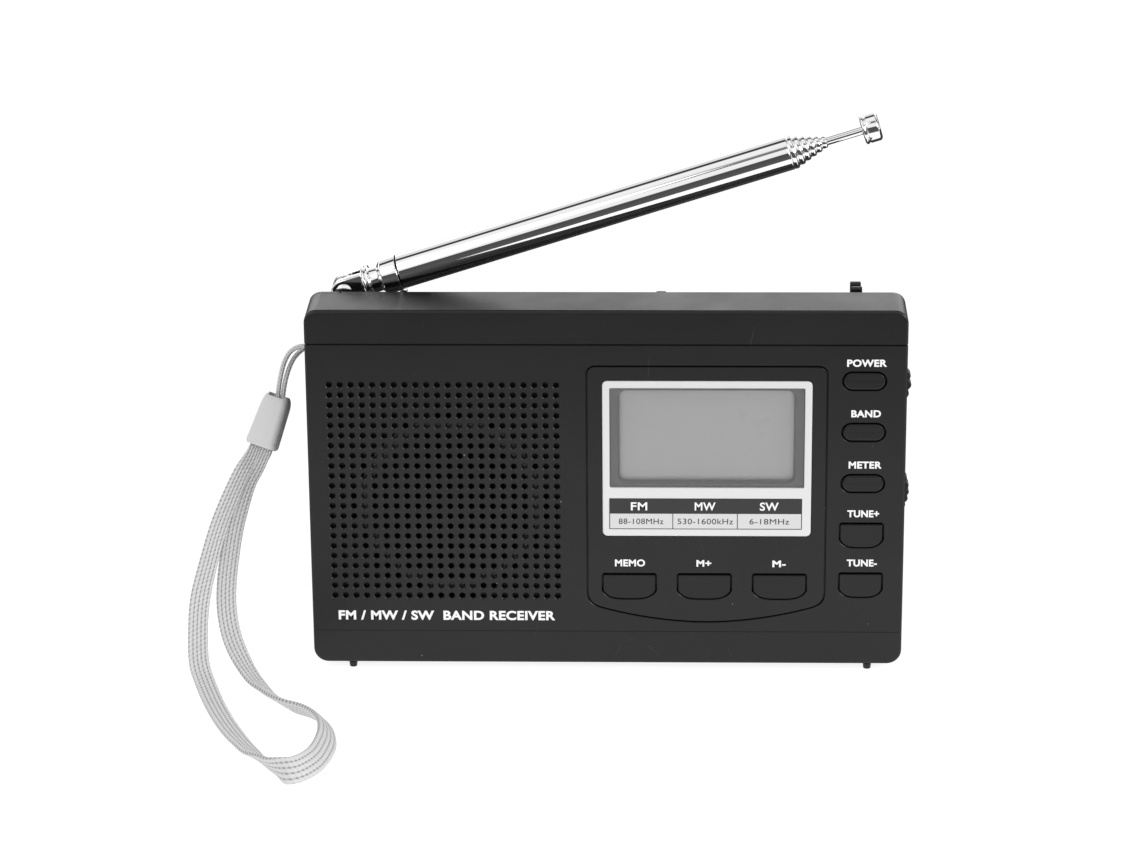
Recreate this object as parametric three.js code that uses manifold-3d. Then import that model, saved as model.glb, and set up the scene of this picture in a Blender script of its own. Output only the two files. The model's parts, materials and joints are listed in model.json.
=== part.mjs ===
// Pocket world-band radio: two-part case, keypad, display, side wheels, speaker, aerials and wrist strap.
// Millimetres, +Z up. Origin: centre of the case in plan, at the level of the feet. The front faces -Y.
import * as THREE from "three";
import { mergeVertices } from "three/addons/utils/BufferGeometryUtils.js";
import Module from "manifold-3d";

const wasm = await Module();
wasm.setup();

// ---- driving dimensions -------------------------------------------------------------------------------
const width = 120;
const height = 75.5;
const depth = 25;
const footHeight = 1.4;
const wall = 1.8;
const partingY = -0.7; // where the front and rear shells meet
const stepY = 0.5; // the top steps down behind this plane, for the antenna
const stepZ = 71;
const tabX = -53.8; // left of this the rear shell has a tab that closes the top corner
const topCorner = 2.5;
const bottomCorner = 3;
const edgeBevel = 0.7;
const gap = 0.3; // working gap round moving and fitted pieces

const front = -depth / 2;
const back = depth / 2;
const left = -width / 2;
const right = width / 2;
const floor = footHeight;
const top = footHeight + height;
const innerFront = front + wall;
const innerBack = back - wall;

const panel = { x0: -3.7, x1: 44, top: 65.3, side: 17.2, foot: 13.8, low: 10.7, corner: 1.5, recess: 1, thick: 0.9 };
const frameBox = { x0: -0.75, x1: 41.2, z0: 29.3, z1: 62.4, corner: 1, proud: 0.15, recess: 1.4 };
const windowBox = { x0: 0.7, x1: 39.75, z0: 39.7, z1: 60.9 };
const glassBox = { x0: 0.2, x1: 40.2, z0: 38.8, z1: 61.6 };

const capBack = -9.9;
const flangeThick = 0.6;
const flangeLip = 0.9;
const pill = { width: 8.3, height: 3.5, proud: 0.1 };
const tuneKey = { width: 8.5, height: 4.9, sag: 1.1, proud: -0.15 };
const memoryKey = { width: 10.6, height: 5.2, sag: 1.3, proud: -0.15 };
const keySizes = { pill, tune: tuneKey, memory: memoryKey };
const keys = [
  { name: "power_button", x: 51.5, z: 62.4, shape: "pill" },
  { name: "band_button", x: 51.5, z: 51.6, shape: "pill" },
  { name: "meter_button", x: 51.5, z: 40.7, shape: "pill" },
  { name: "tune_up_button", x: 51.4, z: 29.5, shape: "tune" },
  { name: "tune_down_button", x: 51.4, z: 18.7, shape: "tune" },
  { name: "memory_button", x: 4.6, z: 18.3, shape: "memory" },
  { name: "memory_up_button", x: 19.8, z: 18.3, shape: "memory" },
  { name: "memory_down_button", x: 35, z: 18.3, shape: "memory" },
];

const boardFront = -7;
const boardThick = 1.2;
const boardBack = boardFront + boardThick;
const switchTop = -9.3;

const wheelY = -3;
const wheelThick = 3;
const wheels = {
  volume: { z: 59.3, radius: 7, reach: 61.3, beads: 20, depth: 0.55, hub: 2.6 },
  tuning: { z: 36.2, radius: 8, reach: 61.3, beads: 32, depth: 0.35, hub: 2.8 },
};

const speaker = { x: -31.5, z: 35.5, radius: 18.5, deep: 7.5, magnet: 9, magnetDeep: 4.5 };

const cell = { radius: 7.25, length: 49.2, nub: 1.3, nubRadius: 2.7, x: -9.5, y: 2.9, z: [12.6, 27.4] };
const bay = { x0: -11.2, x1: 42.9, z0: 4.4, z1: 35.4, y0: -4.7, wall: 1 };
const door = { x0: -12.4, x1: 44.1, z0: 3.9, z1: 36.4, thick: 1.6, ledge: 10.7 };

const screws = [
  [-54.5, 8],
  [54.5, 8],
  [-44, 66.8],
  [44, 66.8],
];
const screwShank = 0.85;
const screwHead = 2.2;
const headSeat = 9.8;
const bossRadius = 2.7;

const pivot = { x: -53.2, y: 6, z: 75.7 };
const restTilt = THREE.MathUtils.degToRad(17.7);
const blade = { half: 2.6, thick: 1.4, gap: 0.25 };
const tongueThick = 1.6;
const collarStart = 4.2;
const tubeStart = 12;
const tubes = [
  { start: tubeStart, end: 95.5, outer: 3.5, inner: 3.2 },
  { start: 16, end: 96.8, outer: 3.05, inner: 2.75 },
  { start: 17.5, end: 98.1, outer: 2.6, inner: 2.3 },
  { start: 19, end: 99.4, outer: 2.15, inner: 1.85 },
  { start: 20.5, end: 100.7, outer: 1.72, inner: 1.42 },
  { start: 22, end: 102, outer: 1.28, inner: 1.02 },
];
const rod = { start: 24, end: 109.4, radius: 0.85 };
const tip = { length: 3.5, radius: 3 };
const clip = { x: 50.3, width: 2.2, gap: 4.6, wall: 1.2, base: 73.6, frontTop: 77.2, rearTop: 76.4 };
const rest = { x: 10.9, width: 2, y0: 9.9, y1: 11.5, top: 73.7 };

const eyelet = { y: 5, z: 64, slot: 2, bridge: 1.8, tall: 2.6 };
const cordRadius = 0.9;
const strapRadius = 1.3;

// ---- materials ----------------------------------------------------------------------------------------
const finish = (color, roughness, metalness) => new THREE.MeshStandardMaterial({ color, roughness, metalness });
const blackPlastic = () => finish(0x2c2c2d, 0.55, 0);
const silverPlastic = () => finish(0xdedede, 0.35, 0.2);
const chrome = () => finish(0xe6e6e8, 0.08, 1);
const steel = () => finish(0xb9b9bb, 0.35, 1);
const greyPlastic = () => finish(0xcfcfcf, 0.5, 0);
const webbing = () => finish(0xd2d2d0, 0.9, 0);
const greenBoard = () => finish(0x1f5a34, 0.5, 0);
const darkPlastic = () => finish(0x18181a, 0.45, 0);

// ---- making solids ------------------------------------------------------------------------------------
function solid(geometry) {
  const plain = geometry.clone();
  plain.deleteAttribute("normal");
  plain.deleteAttribute("uv");
  const merged = mergeVertices(plain, 1e-5);
  return new wasm.Manifold(
    new wasm.Mesh({
      numProp: 3,
      vertProperties: new Float32Array(merged.attributes.position.array),
      triVerts: new Uint32Array(merged.index.array),
    })
  );
}

function geometryOf(body) {
  const mesh = body.getMesh();
  const geometry = new THREE.BufferGeometry();
  geometry.setAttribute("position", new THREE.BufferAttribute(mesh.vertProperties, 3));
  geometry.setIndex(new THREE.BufferAttribute(mesh.triVerts, 1));
  geometry.computeVertexNormals();
  return geometry;
}

const group = new THREE.Group();

function piece(name, shape, material, parent = group) {
  const geometry = shape.isBufferGeometry ? shape : geometryOf(shape);
  const mesh = new THREE.Mesh(geometry, material);
  mesh.name = name;
  parent.add(mesh);
  return mesh;
}

function box(x0, x1, y0, y1, z0, z1) {
  const geometry = new THREE.BoxGeometry(x1 - x0, y1 - y0, z1 - z0);
  geometry.translate((x0 + x1) / 2, (y0 + y1) / 2, (z0 + z1) / 2);
  return solid(geometry);
}

// An outline drawn in x and z, made solid from y0 to y1.
function slab(shape, y0, y1, curveSegments = 5) {
  const geometry = new THREE.ExtrudeGeometry(shape, { depth: y1 - y0, bevelEnabled: false, curveSegments });
  geometry.rotateX(Math.PI / 2);
  geometry.translate(0, y1, 0);
  return solid(geometry);
}

function roundRect(x0, x1, z0, z1, lower, upper = lower) {
  const shape = new THREE.Shape();
  shape.moveTo(x0 + lower, z0);
  shape.lineTo(x1 - lower, z0);
  shape.absarc(x1 - lower, z0 + lower, lower, -Math.PI / 2, 0, false);
  shape.lineTo(x1, z1 - upper);
  shape.absarc(x1 - upper, z1 - upper, upper, 0, Math.PI / 2, false);
  shape.lineTo(x0 + upper, z1);
  shape.absarc(x0 + upper, z1 - upper, upper, Math.PI / 2, Math.PI, false);
  shape.lineTo(x0, z0 + lower);
  shape.absarc(x0 + lower, z0 + lower, lower, Math.PI, Math.PI * 1.5, false);
  return shape;
}

// A key outline with a straight top and a bottom edge bowed down by sag.
function bowedKey(x, z, keyWidth, keyHeight, sag, grow) {
  const halfWide = keyWidth / 2 + grow;
  const upper = z + keyHeight / 2 + grow;
  const side = z - keyHeight / 2 + sag - grow;
  const low = z - keyHeight / 2 - grow;
  const shape = new THREE.Shape();
  shape.moveTo(x - halfWide, upper);
  shape.lineTo(x - halfWide, side);
  shape.bezierCurveTo(x - halfWide * 0.8, low, x - halfWide * 0.5, low, x, low);
  shape.bezierCurveTo(x + halfWide * 0.5, low, x + halfWide * 0.8, low, x + halfWide, side);
  shape.lineTo(x + halfWide, upper);
  return shape;
}

function keyOutline(key, grow) {
  if (key.shape === "pill") {
    const halfWide = pill.width / 2 + grow;
    const halfTall = pill.height / 2 + grow;
    return roundRect(key.x - halfWide, key.x + halfWide, key.z - halfTall, key.z + halfTall, halfTall * 0.999);
  }
  const size = keySizes[key.shape];
  return bowedKey(key.x, key.z, size.width, size.height, size.sag, grow);
}

// A round bar along one axis.
function bar(axis, a, b, x, y, z, radius, sides = 12) {
  const geometry = new THREE.CylinderGeometry(radius, radius, b - a, sides);
  if (axis === "x") geometry.rotateZ(-Math.PI / 2);
  if (axis === "z") geometry.rotateX(Math.PI / 2);
  const middle = (a + b) / 2;
  geometry.translate(axis === "x" ? middle : x, axis === "y" ? middle : y, axis === "z" ? middle : z);
  return solid(geometry);
}

const inX = (a, b, y, z, radius, sides) => bar("x", a, b, 0, y, z, radius, sides);
const inY = (a, b, x, z, radius, sides) => bar("y", a, b, x, 0, z, radius, sides);
const inZ = (a, b, x, y, radius, sides) => bar("z", a, b, x, y, 0, radius, sides);

const join = (first, ...others) => others.reduce((sum, other) => sum.add(other), first);
const cut = (first, ...others) => others.reduce((rest_, other) => rest_.subtract(other), first);

// A turned piece whose profile is given as [distance along, radius] pairs; its axis is +X.
function turned(profile, sides = 16) {
  const points = profile.map(([along, radius]) => new THREE.Vector2(radius, along));
  const geometry = new THREE.LatheGeometry(points, sides);
  geometry.rotateZ(-Math.PI / 2);
  return solid(geometry);
}

// A bar of round section that follows a list of points.
function alongPoints(points, radius, steps, sides = 8) {
  const curve = new THREE.CatmullRomCurve3(points.map((p) => new THREE.Vector3(...p)));
  const section = new THREE.Shape();
  for (let i = 0; i < sides; i += 1) {
    const angle = (i / sides) * Math.PI * 2;
    const move = i === 0 ? "moveTo" : "lineTo";
    section[move](radius * Math.cos(angle), radius * Math.sin(angle));
  }
  return solid(new THREE.ExtrudeGeometry(section, { steps, extrudePath: curve, curveSegments: 1 }));
}

// ---- case ---------------------------------------------------------------------------------------------
function wholeCase() {
  const inset = roundRect(
    left + edgeBevel,
    right - edgeBevel,
    floor + edgeBevel,
    top - edgeBevel,
    bottomCorner - edgeBevel,
    topCorner - edgeBevel
  );
  const geometry = new THREE.ExtrudeGeometry(inset, {
    depth: depth - 2 * edgeBevel,
    bevelThickness: edgeBevel,
    bevelSize: edgeBevel,
    bevelSegments: 2,
    curveSegments: 5,
  });
  geometry.rotateX(Math.PI / 2);
  geometry.translate(0, back - edgeBevel, 0);
  return solid(geometry);
}

function foot(x, y) {
  const feet = new THREE.CylinderGeometry(1, 0.75, footHeight + 0.4, 8);
  feet.rotateX(Math.PI / 2);
  feet.translate(x, y, (footHeight + 0.4) / 2);
  return solid(feet);
}

function panelOutline(grow) {
  const x0 = panel.x0 - grow;
  const x1 = panel.x1 + grow;
  const shape = new THREE.Shape();
  const middle = (x0 + x1) / 2;
  const low = panel.low - grow;
  const foot = panel.foot - grow;
  shape.moveTo(x0, panel.side);
  shape.bezierCurveTo(x0, panel.side - 2, x0 + 1, foot + 0.5, x0 + 2.8, foot);
  shape.bezierCurveTo(x0 + 9, low + 1.3, middle - 7, low, middle, low);
  shape.bezierCurveTo(middle + 7, low, x1 - 9, low + 1.3, x1 - 2.8, foot);
  shape.bezierCurveTo(x1 - 1, foot + 0.5, x1, panel.side - 2, x1, panel.side);
  shape.lineTo(x1, panel.top + grow - panel.corner);
  shape.absarc(x1 - panel.corner, panel.top + grow - panel.corner, panel.corner, 0, Math.PI / 2, false);
  shape.lineTo(x0 + panel.corner, panel.top + grow);
  shape.absarc(x0 + panel.corner, panel.top + grow - panel.corner, panel.corner, Math.PI / 2, Math.PI, false);
  return shape;
}

const frameOutline = (grow) =>
  roundRect(
    frameBox.x0 - grow,
    frameBox.x1 + grow,
    frameBox.z0 - grow,
    frameBox.z1 + grow,
    frameBox.corner + grow
  );

function wheelSlot(wheel) {
  const half = wheelThick / 2 + gap;
  const tall = Math.sqrt(wheel.radius ** 2 - (right - wall - (wheel.reach - wheel.radius)) ** 2) + 0.6;
  return box(right - wall - 1, right + 1, wheelY - half, wheelY + half, wheel.z - tall, wheel.z + tall);
}

function frontShell() {
  let body = wholeCase().intersect(box(left - 1, right + 1, front - 1, partingY, 0, top + 1));
  const lip = box(tabX + 0.3, right + 1, partingY - 0.6, stepY, stepZ + 0.05, top + 1);
  const hollow = roundRect(left + wall, right - wall, floor + wall, top - wall, bottomCorner - wall + 0.4);
  body = cut(body, slab(hollow, innerFront, partingY + 1, 3));
  body = body.add(wholeCase().intersect(lip));
  for (const [x, z] of screws) {
    const boss = inY(innerFront - 0.5, partingY - 0.1, x, z, bossRadius, 12);
    body = cut(body.add(boss), inY(innerFront + 1, partingY + 1, x, z, screwShank + 0.05, 12));
  }
  body = cut(body, slab(panelOutline(0.15), front - 1, front + panel.recess, 5));
  body = cut(body, slab(frameOutline(0.1), front - 1, front + frameBox.recess));
  body = cut(body, box(glassBox.x0, glassBox.x1, front - 1, innerFront + 1, glassBox.z0, glassBox.z1));
  for (const key of keys) {
    body = cut(body, slab(keyOutline(key, gap), front - 1, innerFront + 1, 4));
  }
  for (const wheel of Object.values(wheels)) body = cut(body, wheelSlot(wheel));
  for (const jack of Object.values(jacks)) {
    body = cut(body, inX(right - wall - 1, right + 1, jackY, jack.z, jackBarrel + gap, 12));
  }
  return join(body, foot(-52.1, front + 1.6), foot(53.1, front + 1.6));
}

const jackY = -3.4;
const jackBarrel = 2.1;
const jacks = {
  earphone_jack: { z: 15.6, bore: 1.5 },
  supply_jack: { z: 23.8, bore: 1.2 },
};

function rearShell() {
  let body = wholeCase().intersect(box(left - 1, right + 1, partingY + 0.05, back + 1, 0, top + 1));
  const hollowTop = stepZ - wall;
  const hollow = roundRect(left + wall, right - wall, floor + wall, hollowTop, bottomCorner - wall + 0.4);
  body = cut(body, slab(hollow, partingY - 1, innerBack, 3));
  body = cut(body, box(left - 1, right + 1, stepY, back + 1, stepZ, top + 1));
  body = cut(body, box(tabX, right + 1, partingY - 1, back + 1, stepZ, top + 1));
  for (const [x, z] of screws) {
    body = body.add(inY(partingY + 0.1, innerBack + 0.5, x, z, bossRadius, 12));
    body = cut(body, inY(partingY - 1, back + 1, x, z, screwShank + 0.3, 12));
    body = cut(body, inY(headSeat, back + 1, x, z, screwHead + gap, 12));
  }
  const bayShell = box(
    bay.x0 - bay.wall,
    bay.x1 + bay.wall,
    bay.y0 - 0.7,
    innerBack + 0.5,
    bay.z0 - 0.9,
    bay.z1 + bay.wall
  );
  const bayFoot = box(bay.x0, bay.x1, partingY + 0.1, innerBack + 0.5, floor + 1, bay.z0);
  const rim = 1.4;
  const bayRim = box(door.x0 - rim, door.x1 + rim, 9.4, innerBack + 0.5, floor + 1, door.z1 + rim);
  body = join(body, bayShell, bayFoot, bayRim);
  body = cut(body, box(bay.x0, bay.x1, bay.y0, back + 1, bay.z0, bay.z1));
  const doorGap = 0.2;
  body = cut(
    body,
    box(door.x0 - doorGap, door.x1 + doorGap, door.ledge, back + 1, door.z0 - doorGap, door.z1 + doorGap)
  );
  body = cut(body, inZ(stepZ - wall - 1, stepZ + 1, pivot.x, pivot.y, 2.6, 12));
  const slotLow = eyelet.z - eyelet.tall / 2;
  for (const side of [-1, 1]) {
    const y = eyelet.y + side * (eyelet.bridge / 2 + eyelet.slot / 2);
    const half = eyelet.slot / 2;
    body = cut(body, box(left - 1, left + wall + 1, y - half, y + half, slotLow, slotLow + eyelet.tall));
  }
  body = body.add(clipShape());
  const restPost = box(
    rest.x - rest.width / 2,
    rest.x + rest.width / 2,
    rest.y0,
    rest.y1,
    stepZ - 0.5,
    rest.top
  );
  body = body.add(restPost);
  return join(body, foot(-52.1, back - 2.5), foot(53.1, back - 2.5));
}

// The U-shaped clip that holds the thin end of the folded antenna.
function clipShape() {
  const x0 = clip.x - clip.width / 2;
  const x1 = clip.x + clip.width / 2;
  const inner = clip.gap / 2;
  const outer = inner + clip.wall;
  const base = box(x0, x1, pivot.y - outer, pivot.y + outer, stepZ - 0.5, clip.base);
  const frontProng = box(x0, x1, pivot.y - outer, pivot.y - inner, stepZ, clip.frontTop);
  const rearProng = box(x0, x1, pivot.y + inner, pivot.y + outer, stepZ, clip.rearTop);
  return join(base, frontProng, rearProng);
}

function batteryDoor() {
  const y0 = back - door.thick;
  let body = box(door.x0, door.x1, y0, back, door.z0, door.z1);
  const grips = 5;
  for (let i = 0; i < grips; i += 1) {
    const x = door.x1 - 6 + i * 1.2;
    body = cut(body, box(x, x + 0.5, back - 0.4, back + 1, 14, 26));
  }
  return body;
}

piece("front_shell", frontShell(), blackPlastic());
piece("rear_shell", rearShell(), blackPlastic());
piece("battery_door", batteryDoor(), blackPlastic());

for (const [index, [x, z]] of screws.entries()) {
  const head = inY(headSeat + 0.1, headSeat + 1.5, x, z, screwHead, 12);
  const shank = inY(-7, headSeat + 0.3, x, z, screwShank, 12);
  piece(`case_screw_${index + 1}`, join(head, shank), steel());
}

// ---- control panel, display and keys ------------------------------------------------------------------
function controlPanel() {
  let body = slab(panelOutline(0), front, front + panel.thick, 5);
  body = cut(body, slab(frameOutline(0.1), front - 1, front + panel.recess + 1));
  for (const key of keys.filter((each) => each.shape === "memory")) {
    body = cut(body, slab(keyOutline(key, gap), front - 1, innerFront + 1, 4));
  }
  return body;
}

function displayFrame() {
  const body = slab(frameOutline(0), front - frameBox.proud, front + frameBox.recess - 0.1);
  return cut(
    body,
    box(windowBox.x0, windowBox.x1, front - 2, innerFront + 1, windowBox.z0, windowBox.z1)
  );
}

piece("control_panel", controlPanel(), darkPlastic());
piece("display_frame", displayFrame(), silverPlastic());
const lens = box(
  windowBox.x0 + 0.1,
  windowBox.x1 - 0.1,
  front + 0.2,
  front + 1,
  windowBox.z0 + 0.1,
  windowBox.z1 - 0.1
);
piece("display_window", lens, finish(0x9fa3a3, 0.1, 0));
const lcdBack = -8.7;
piece("lcd_glass", box(1, 39.4, innerFront + 0.3, lcdBack, 37.5, 61.2), finish(0xa9adab, 0.15, 0));
piece("lcd_reflector", box(1.6, 38.8, lcdBack + 0.2, boardFront - 0.2, 38, 61), finish(0xe8e8e8, 0.4, 0));

for (const key of keys) {
  const cap = slab(keyOutline(key, 0), front - keySizes[key.shape].proud, capBack, 4);
  const flange = slab(keyOutline(key, flangeLip), capBack - flangeThick, capBack, 3);
  piece(key.name, join(cap, flange), darkPlastic());
}

// ---- board --------------------------------------------------------------------------------------------
function mainBoard() {
  let body = box(-9, 56.5, boardFront, boardBack, 5, 73.5);
  const clear = bossRadius + 0.4;
  for (const [x, z] of screws) {
    const far = x > 50 ? right : x + clear;
    const low = z < 20 ? 0 : z - clear;
    body = cut(body, box(x - clear, far, boardFront - 1, boardBack + 1, low, z + clear));
  }
  for (const key of keys) {
    body = body.add(box(key.x - 2.2, key.x + 2.2, -8.8, boardFront + 0.1, key.z - 2.2, key.z + 2.2));
    body = body.add(inY(switchTop, -8.7, key.x, key.z, 1.1, 8));
  }
  return body;
}

piece("main_board", mainBoard(), greenBoard());
piece("tuner_chip", box(-6, 1, boardBack + 0.05, boardBack + 1.3, 46, 53), darkPlastic());
piece("audio_chip", box(8, 14, boardBack + 0.05, boardBack + 1.6, 47, 51), darkPlastic());

for (const [name, jack] of Object.entries(jacks)) {
  const body = box(48.5, right - wall - 0.3, boardBack + 0.1, -0.9, jack.z - 3, jack.z + 3);
  const barrel = inX(right - wall - 1, right - 0.2, jackY, jack.z, jackBarrel, 12);
  const bore = inX(52, right + 1, jackY, jack.z, jack.bore, 10);
  piece(name, cut(join(body, barrel), bore), darkPlastic());
}

// ---- side wheels --------------------------------------------------------------------------------------
function wheelShape(wheel) {
  const x = wheel.reach - wheel.radius;
  const outline = new THREE.Shape();
  const count = wheel.beads * 2;
  for (let i = 0; i < count; i += 1) {
    const angle = ((i + 0.5) / count) * Math.PI * 2;
    const radius = wheel.radius - (i % 2 ? wheel.depth : 0);
    const move = i === 0 ? "moveTo" : "lineTo";
    outline[move](x + radius * Math.cos(angle), wheel.z + radius * Math.sin(angle));
  }
  const body = slab(outline, wheelY - wheelThick / 2, wheelY + wheelThick / 2);
  return cut(body, inY(wheelY - 3, wheelY + 3, x, wheel.z, 1.3, 12));
}

function wheelControl(wheel) {
  const x = wheel.reach - wheel.radius;
  const base = inY(boardBack + 0.1, wheelY - wheelThick / 2 - 0.2, x, wheel.z, 3.6, 12);
  return join(base, inY(boardBack + 0.5, wheelY + wheelThick / 2 + 0.6, x, wheel.z, 1, 12));
}

piece("volume_wheel", wheelShape(wheels.volume), blackPlastic());
piece("tuning_wheel", wheelShape(wheels.tuning), blackPlastic());
piece("volume_control", wheelControl(wheels.volume), greyPlastic());
piece("tuning_encoder", wheelControl(wheels.tuning), greyPlastic());

// ---- loudspeaker --------------------------------------------------------------------------------------
function speakerTurned(profile) {
  const points = profile.map(([y, radius]) => new THREE.Vector2(radius, y));
  const geometry = new THREE.LatheGeometry(points, 20);
  geometry.translate(speaker.x, 0, speaker.z);
  return solid(geometry);
}

const speakerFront = innerFront + 0.2;
const speakerBack = speakerFront + speaker.deep;
const coneDeep = speakerFront + 4;
piece(
  "speaker_frame",
  speakerTurned([
    [speakerFront, speaker.radius - 2],
    [speakerFront, speaker.radius],
    [speakerFront + 1.6, speaker.radius],
    [speakerBack, speaker.magnet + 2],
    [speakerBack, 5],
    [speakerBack - 0.8, 5],
    [speakerBack - 0.8, speaker.magnet + 1.4],
    [speakerFront + 1.2, speaker.radius - 2],
    [speakerFront, speaker.radius - 2],
  ]),
  steel()
);
piece(
  "speaker_cone",
  speakerTurned([
    [coneDeep - 1.6, 0],
    [coneDeep - 0.6, 4.4],
    [speakerFront + 0.3, speaker.radius - 4],
    [speakerFront + 0.3, speaker.radius - 2.3],
    [speakerFront + 0.8, speaker.radius - 2.3],
    [speakerFront + 0.9, speaker.radius - 4],
    [coneDeep + 0.4, 4.4],
    [coneDeep + 1.8, 4.4],
    [coneDeep + 1.8, 0],
  ]),
  darkPlastic()
);
const magnetFront = speakerBack + 0.1;
const magnet = inY(magnetFront, magnetFront + speaker.magnetDeep, speaker.x, speaker.z, speaker.magnet, 24);
piece("speaker_magnet", magnet, steel());

// ---- ferrite aerial -----------------------------------------------------------------------------------
const ferrite = { y: 5, z: 62.3, radius: 3.4, x0: -30, x1: 30, coil0: -6, coil1: 10, coilRadius: 4.6 };
piece("ferrite_rod", inX(ferrite.x0, ferrite.x1, ferrite.y, ferrite.z, ferrite.radius, 16), finish(0x4a4744, 0.7, 0));
piece(
  "ferrite_coil",
  cut(
    inX(ferrite.coil0, ferrite.coil1, ferrite.y, ferrite.z, ferrite.coilRadius, 16),
    inX(ferrite.coil0 - 1, ferrite.coil1 + 1, ferrite.y, ferrite.z, ferrite.radius + 0.1, 16)
  ),
  finish(0xa5622e, 0.4, 0.6)
);

// ---- cells and contacts -------------------------------------------------------------------------------
cell.z.forEach((z, index) => {
  const flip = index === 1;
  const end = cell.x + cell.length + cell.nub;
  const bodyStart = flip ? cell.x + cell.nub : cell.x;
  const bodyEnd = bodyStart + cell.length;
  const can = inX(bodyStart, bodyEnd, cell.y, z, cell.radius, 20);
  const nub = flip
    ? inX(cell.x, bodyStart + 0.2, cell.y, z, cell.nubRadius, 12)
    : inX(bodyEnd - 0.2, end, cell.y, z, cell.nubRadius, 12);
  piece(`battery_cell_${index + 1}`, join(can, nub), finish(0x3a4a5a, 0.3, 0.5));
});

const contactThick = 0.4;
const endX = cell.x + cell.length + cell.nub;
const plate = (x, z0, z1) => box(x, x + contactThick, cell.y - 4.5, cell.y + 4.5, z0, z1);
const springPad = (x0, x1, z) => inX(x0, x1, cell.y, z, 3, 10);
piece(
  "bridge_contact",
  join(plate(bay.x0 + 0.2, 8, 32), springPad(bay.x0 + 0.4, cell.x - 0.15, cell.z[0])),
  steel()
);
piece("positive_contact", plate(bay.x1 - 0.8, 8, 17), steel());
piece(
  "negative_contact",
  join(plate(bay.x1 - 0.8, 23, 32), springPad(endX + 0.15, bay.x1 - 0.6, cell.z[1])),
  steel()
);

// ---- inner wires --------------------------------------------------------------------------------------
const speakerLead = [
  [speaker.x + 9.5, 2.4, speaker.z + 6],
  [speaker.x + 13, 3.5, speaker.z + 12],
  [-16, 0, 52],
  [-11, -3, 52.5],
  [-8, -4.4, 51.5],
];
piece("speaker_wire", alongPoints(speakerLead, 0.6, 9), finish(0x9a1f1f, 0.5, 0));
const antennaLead = [
  [pivot.x + 3.6, pivot.y, 65],
  [-46, 4, 61],
  [-36, 0.4, 57.5],
  [-20, -2.6, 56],
  [-9, -4.4, 56],
];
piece("antenna_wire", alongPoints(antennaLead, 0.6, 12), finish(0x1c1c1c, 0.5, 0));

// ---- telescopic antenna -------------------------------------------------------------------------------
const swivel = new THREE.Group();
swivel.position.set(pivot.x, pivot.y, pivot.z);
group.add(swivel);

const baseTop = stepZ + 1.3 - pivot.z;
const swivelBody = cut(
  join(
    inZ(stepZ + 0.25 - pivot.z, baseTop, 0, 0, 4.1, 20),
    inZ(stepZ - 5 - pivot.z, stepZ + 0.5 - pivot.z, 0, 0, 2.2, 12),
    box(-2.3, 2.3, -tongueThick / 2, tongueThick / 2, baseTop - 0.2, 0),
    inY(-tongueThick / 2, tongueThick / 2, 0, 0, 2.3, 16)
  ),
  inY(-3, 3, 0, 0, 1.1, 12),
  inZ(stepZ - 6 - pivot.z, stepZ - 1 - pivot.z, 0, 0, 0.9, 10)
);
piece("antenna_swivel", swivelBody, chrome(), swivel);

const screwTop = stepZ - 5.2;
piece(
  "antenna_screw",
  join(
    inZ(screwTop - 1.4, screwTop, pivot.x, pivot.y, 2.7, 12),
    inZ(screwTop - 0.3, stepZ - 1.6, pivot.x, pivot.y, 0.8, 10)
  ),
  steel()
);

const arm = new THREE.Group();
arm.rotation.y = -restTilt;
swivel.add(arm);

function antennaRoot() {
  const inner = tongueThick / 2 + blade.gap;
  const outer = inner + blade.thick;
  let body = turned([
    [collarStart, 0],
    [collarStart, 3],
    [4.6, 3.4],
    [4.9, 3.4],
    [5.1, 2.8],
    [5.3, 3.4],
    [5.7, 3.4],
    [5.9, 2.6],
    [7.6, 2.6],
    [7.9, 3],
    [8.5, 3.6],
    [11.2, 3.7],
    [11.7, 3.7],
    [11.7, 0],
  ]);
  for (const side of [-1, 1]) {
    const y0 = side < 0 ? -outer : inner;
    const y1 = side < 0 ? -inner : outer;
    body = join(body, box(0, collarStart + 0.2, y0, y1, -blade.half, blade.half));
    body = body.add(inY(y0, y1, 0, 0, blade.half, 20));
  }
  return cut(body, inY(-4, 4, 0, 0, 1.1, 12));
}

piece("antenna_root", antennaRoot(), chrome(), arm);
const pinReach = tongueThick / 2 + blade.gap + blade.thick;
const pin = join(
  inY(-pinReach - 0.1, pinReach + 0.1, 0, 0, 1.02, 12),
  inY(-pinReach - 0.7, -pinReach - 0.05, 0, 0, 1.75, 16),
  inY(pinReach + 0.05, pinReach + 0.7, 0, 0, 1.75, 16)
);
piece("antenna_pin", pin, chrome(), arm);

tubes.forEach((tube, index) => {
  const crimp = tube.end - 0.5;
  const mouth = tube.inner - 0.05;
  const profile = [
    [tube.start, tube.inner],
    [tube.start, tube.outer],
    [crimp, tube.outer],
    [tube.end, tube.outer - 0.15],
    [tube.end, mouth],
    [tube.start, tube.inner],
  ];
  piece(`antenna_tube_${index + 1}`, turned(profile), chrome(), arm);
});

const rodProfile = [
  [rod.start, 0],
  [rod.start, rod.radius],
  [rod.end - 0.1, rod.radius],
  [rod.end - 0.1, 0],
];
piece("antenna_rod", turned(rodProfile, 12), chrome(), arm);
const tipEnd = rod.end + tip.length;
piece(
  "antenna_tip",
  turned([
    [rod.end, 0],
    [rod.end, tip.radius - 0.5],
    [rod.end + 0.5, tip.radius],
    [rod.end + 1.2, tip.radius],
    [rod.end + 1.7, tip.radius - 0.6],
    [rod.end + 2.2, tip.radius],
    [tipEnd - 0.5, tip.radius],
    [tipEnd, tip.radius - 0.5],
    [tipEnd, 0],
  ]),
  chrome(),
  arm
);

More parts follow.
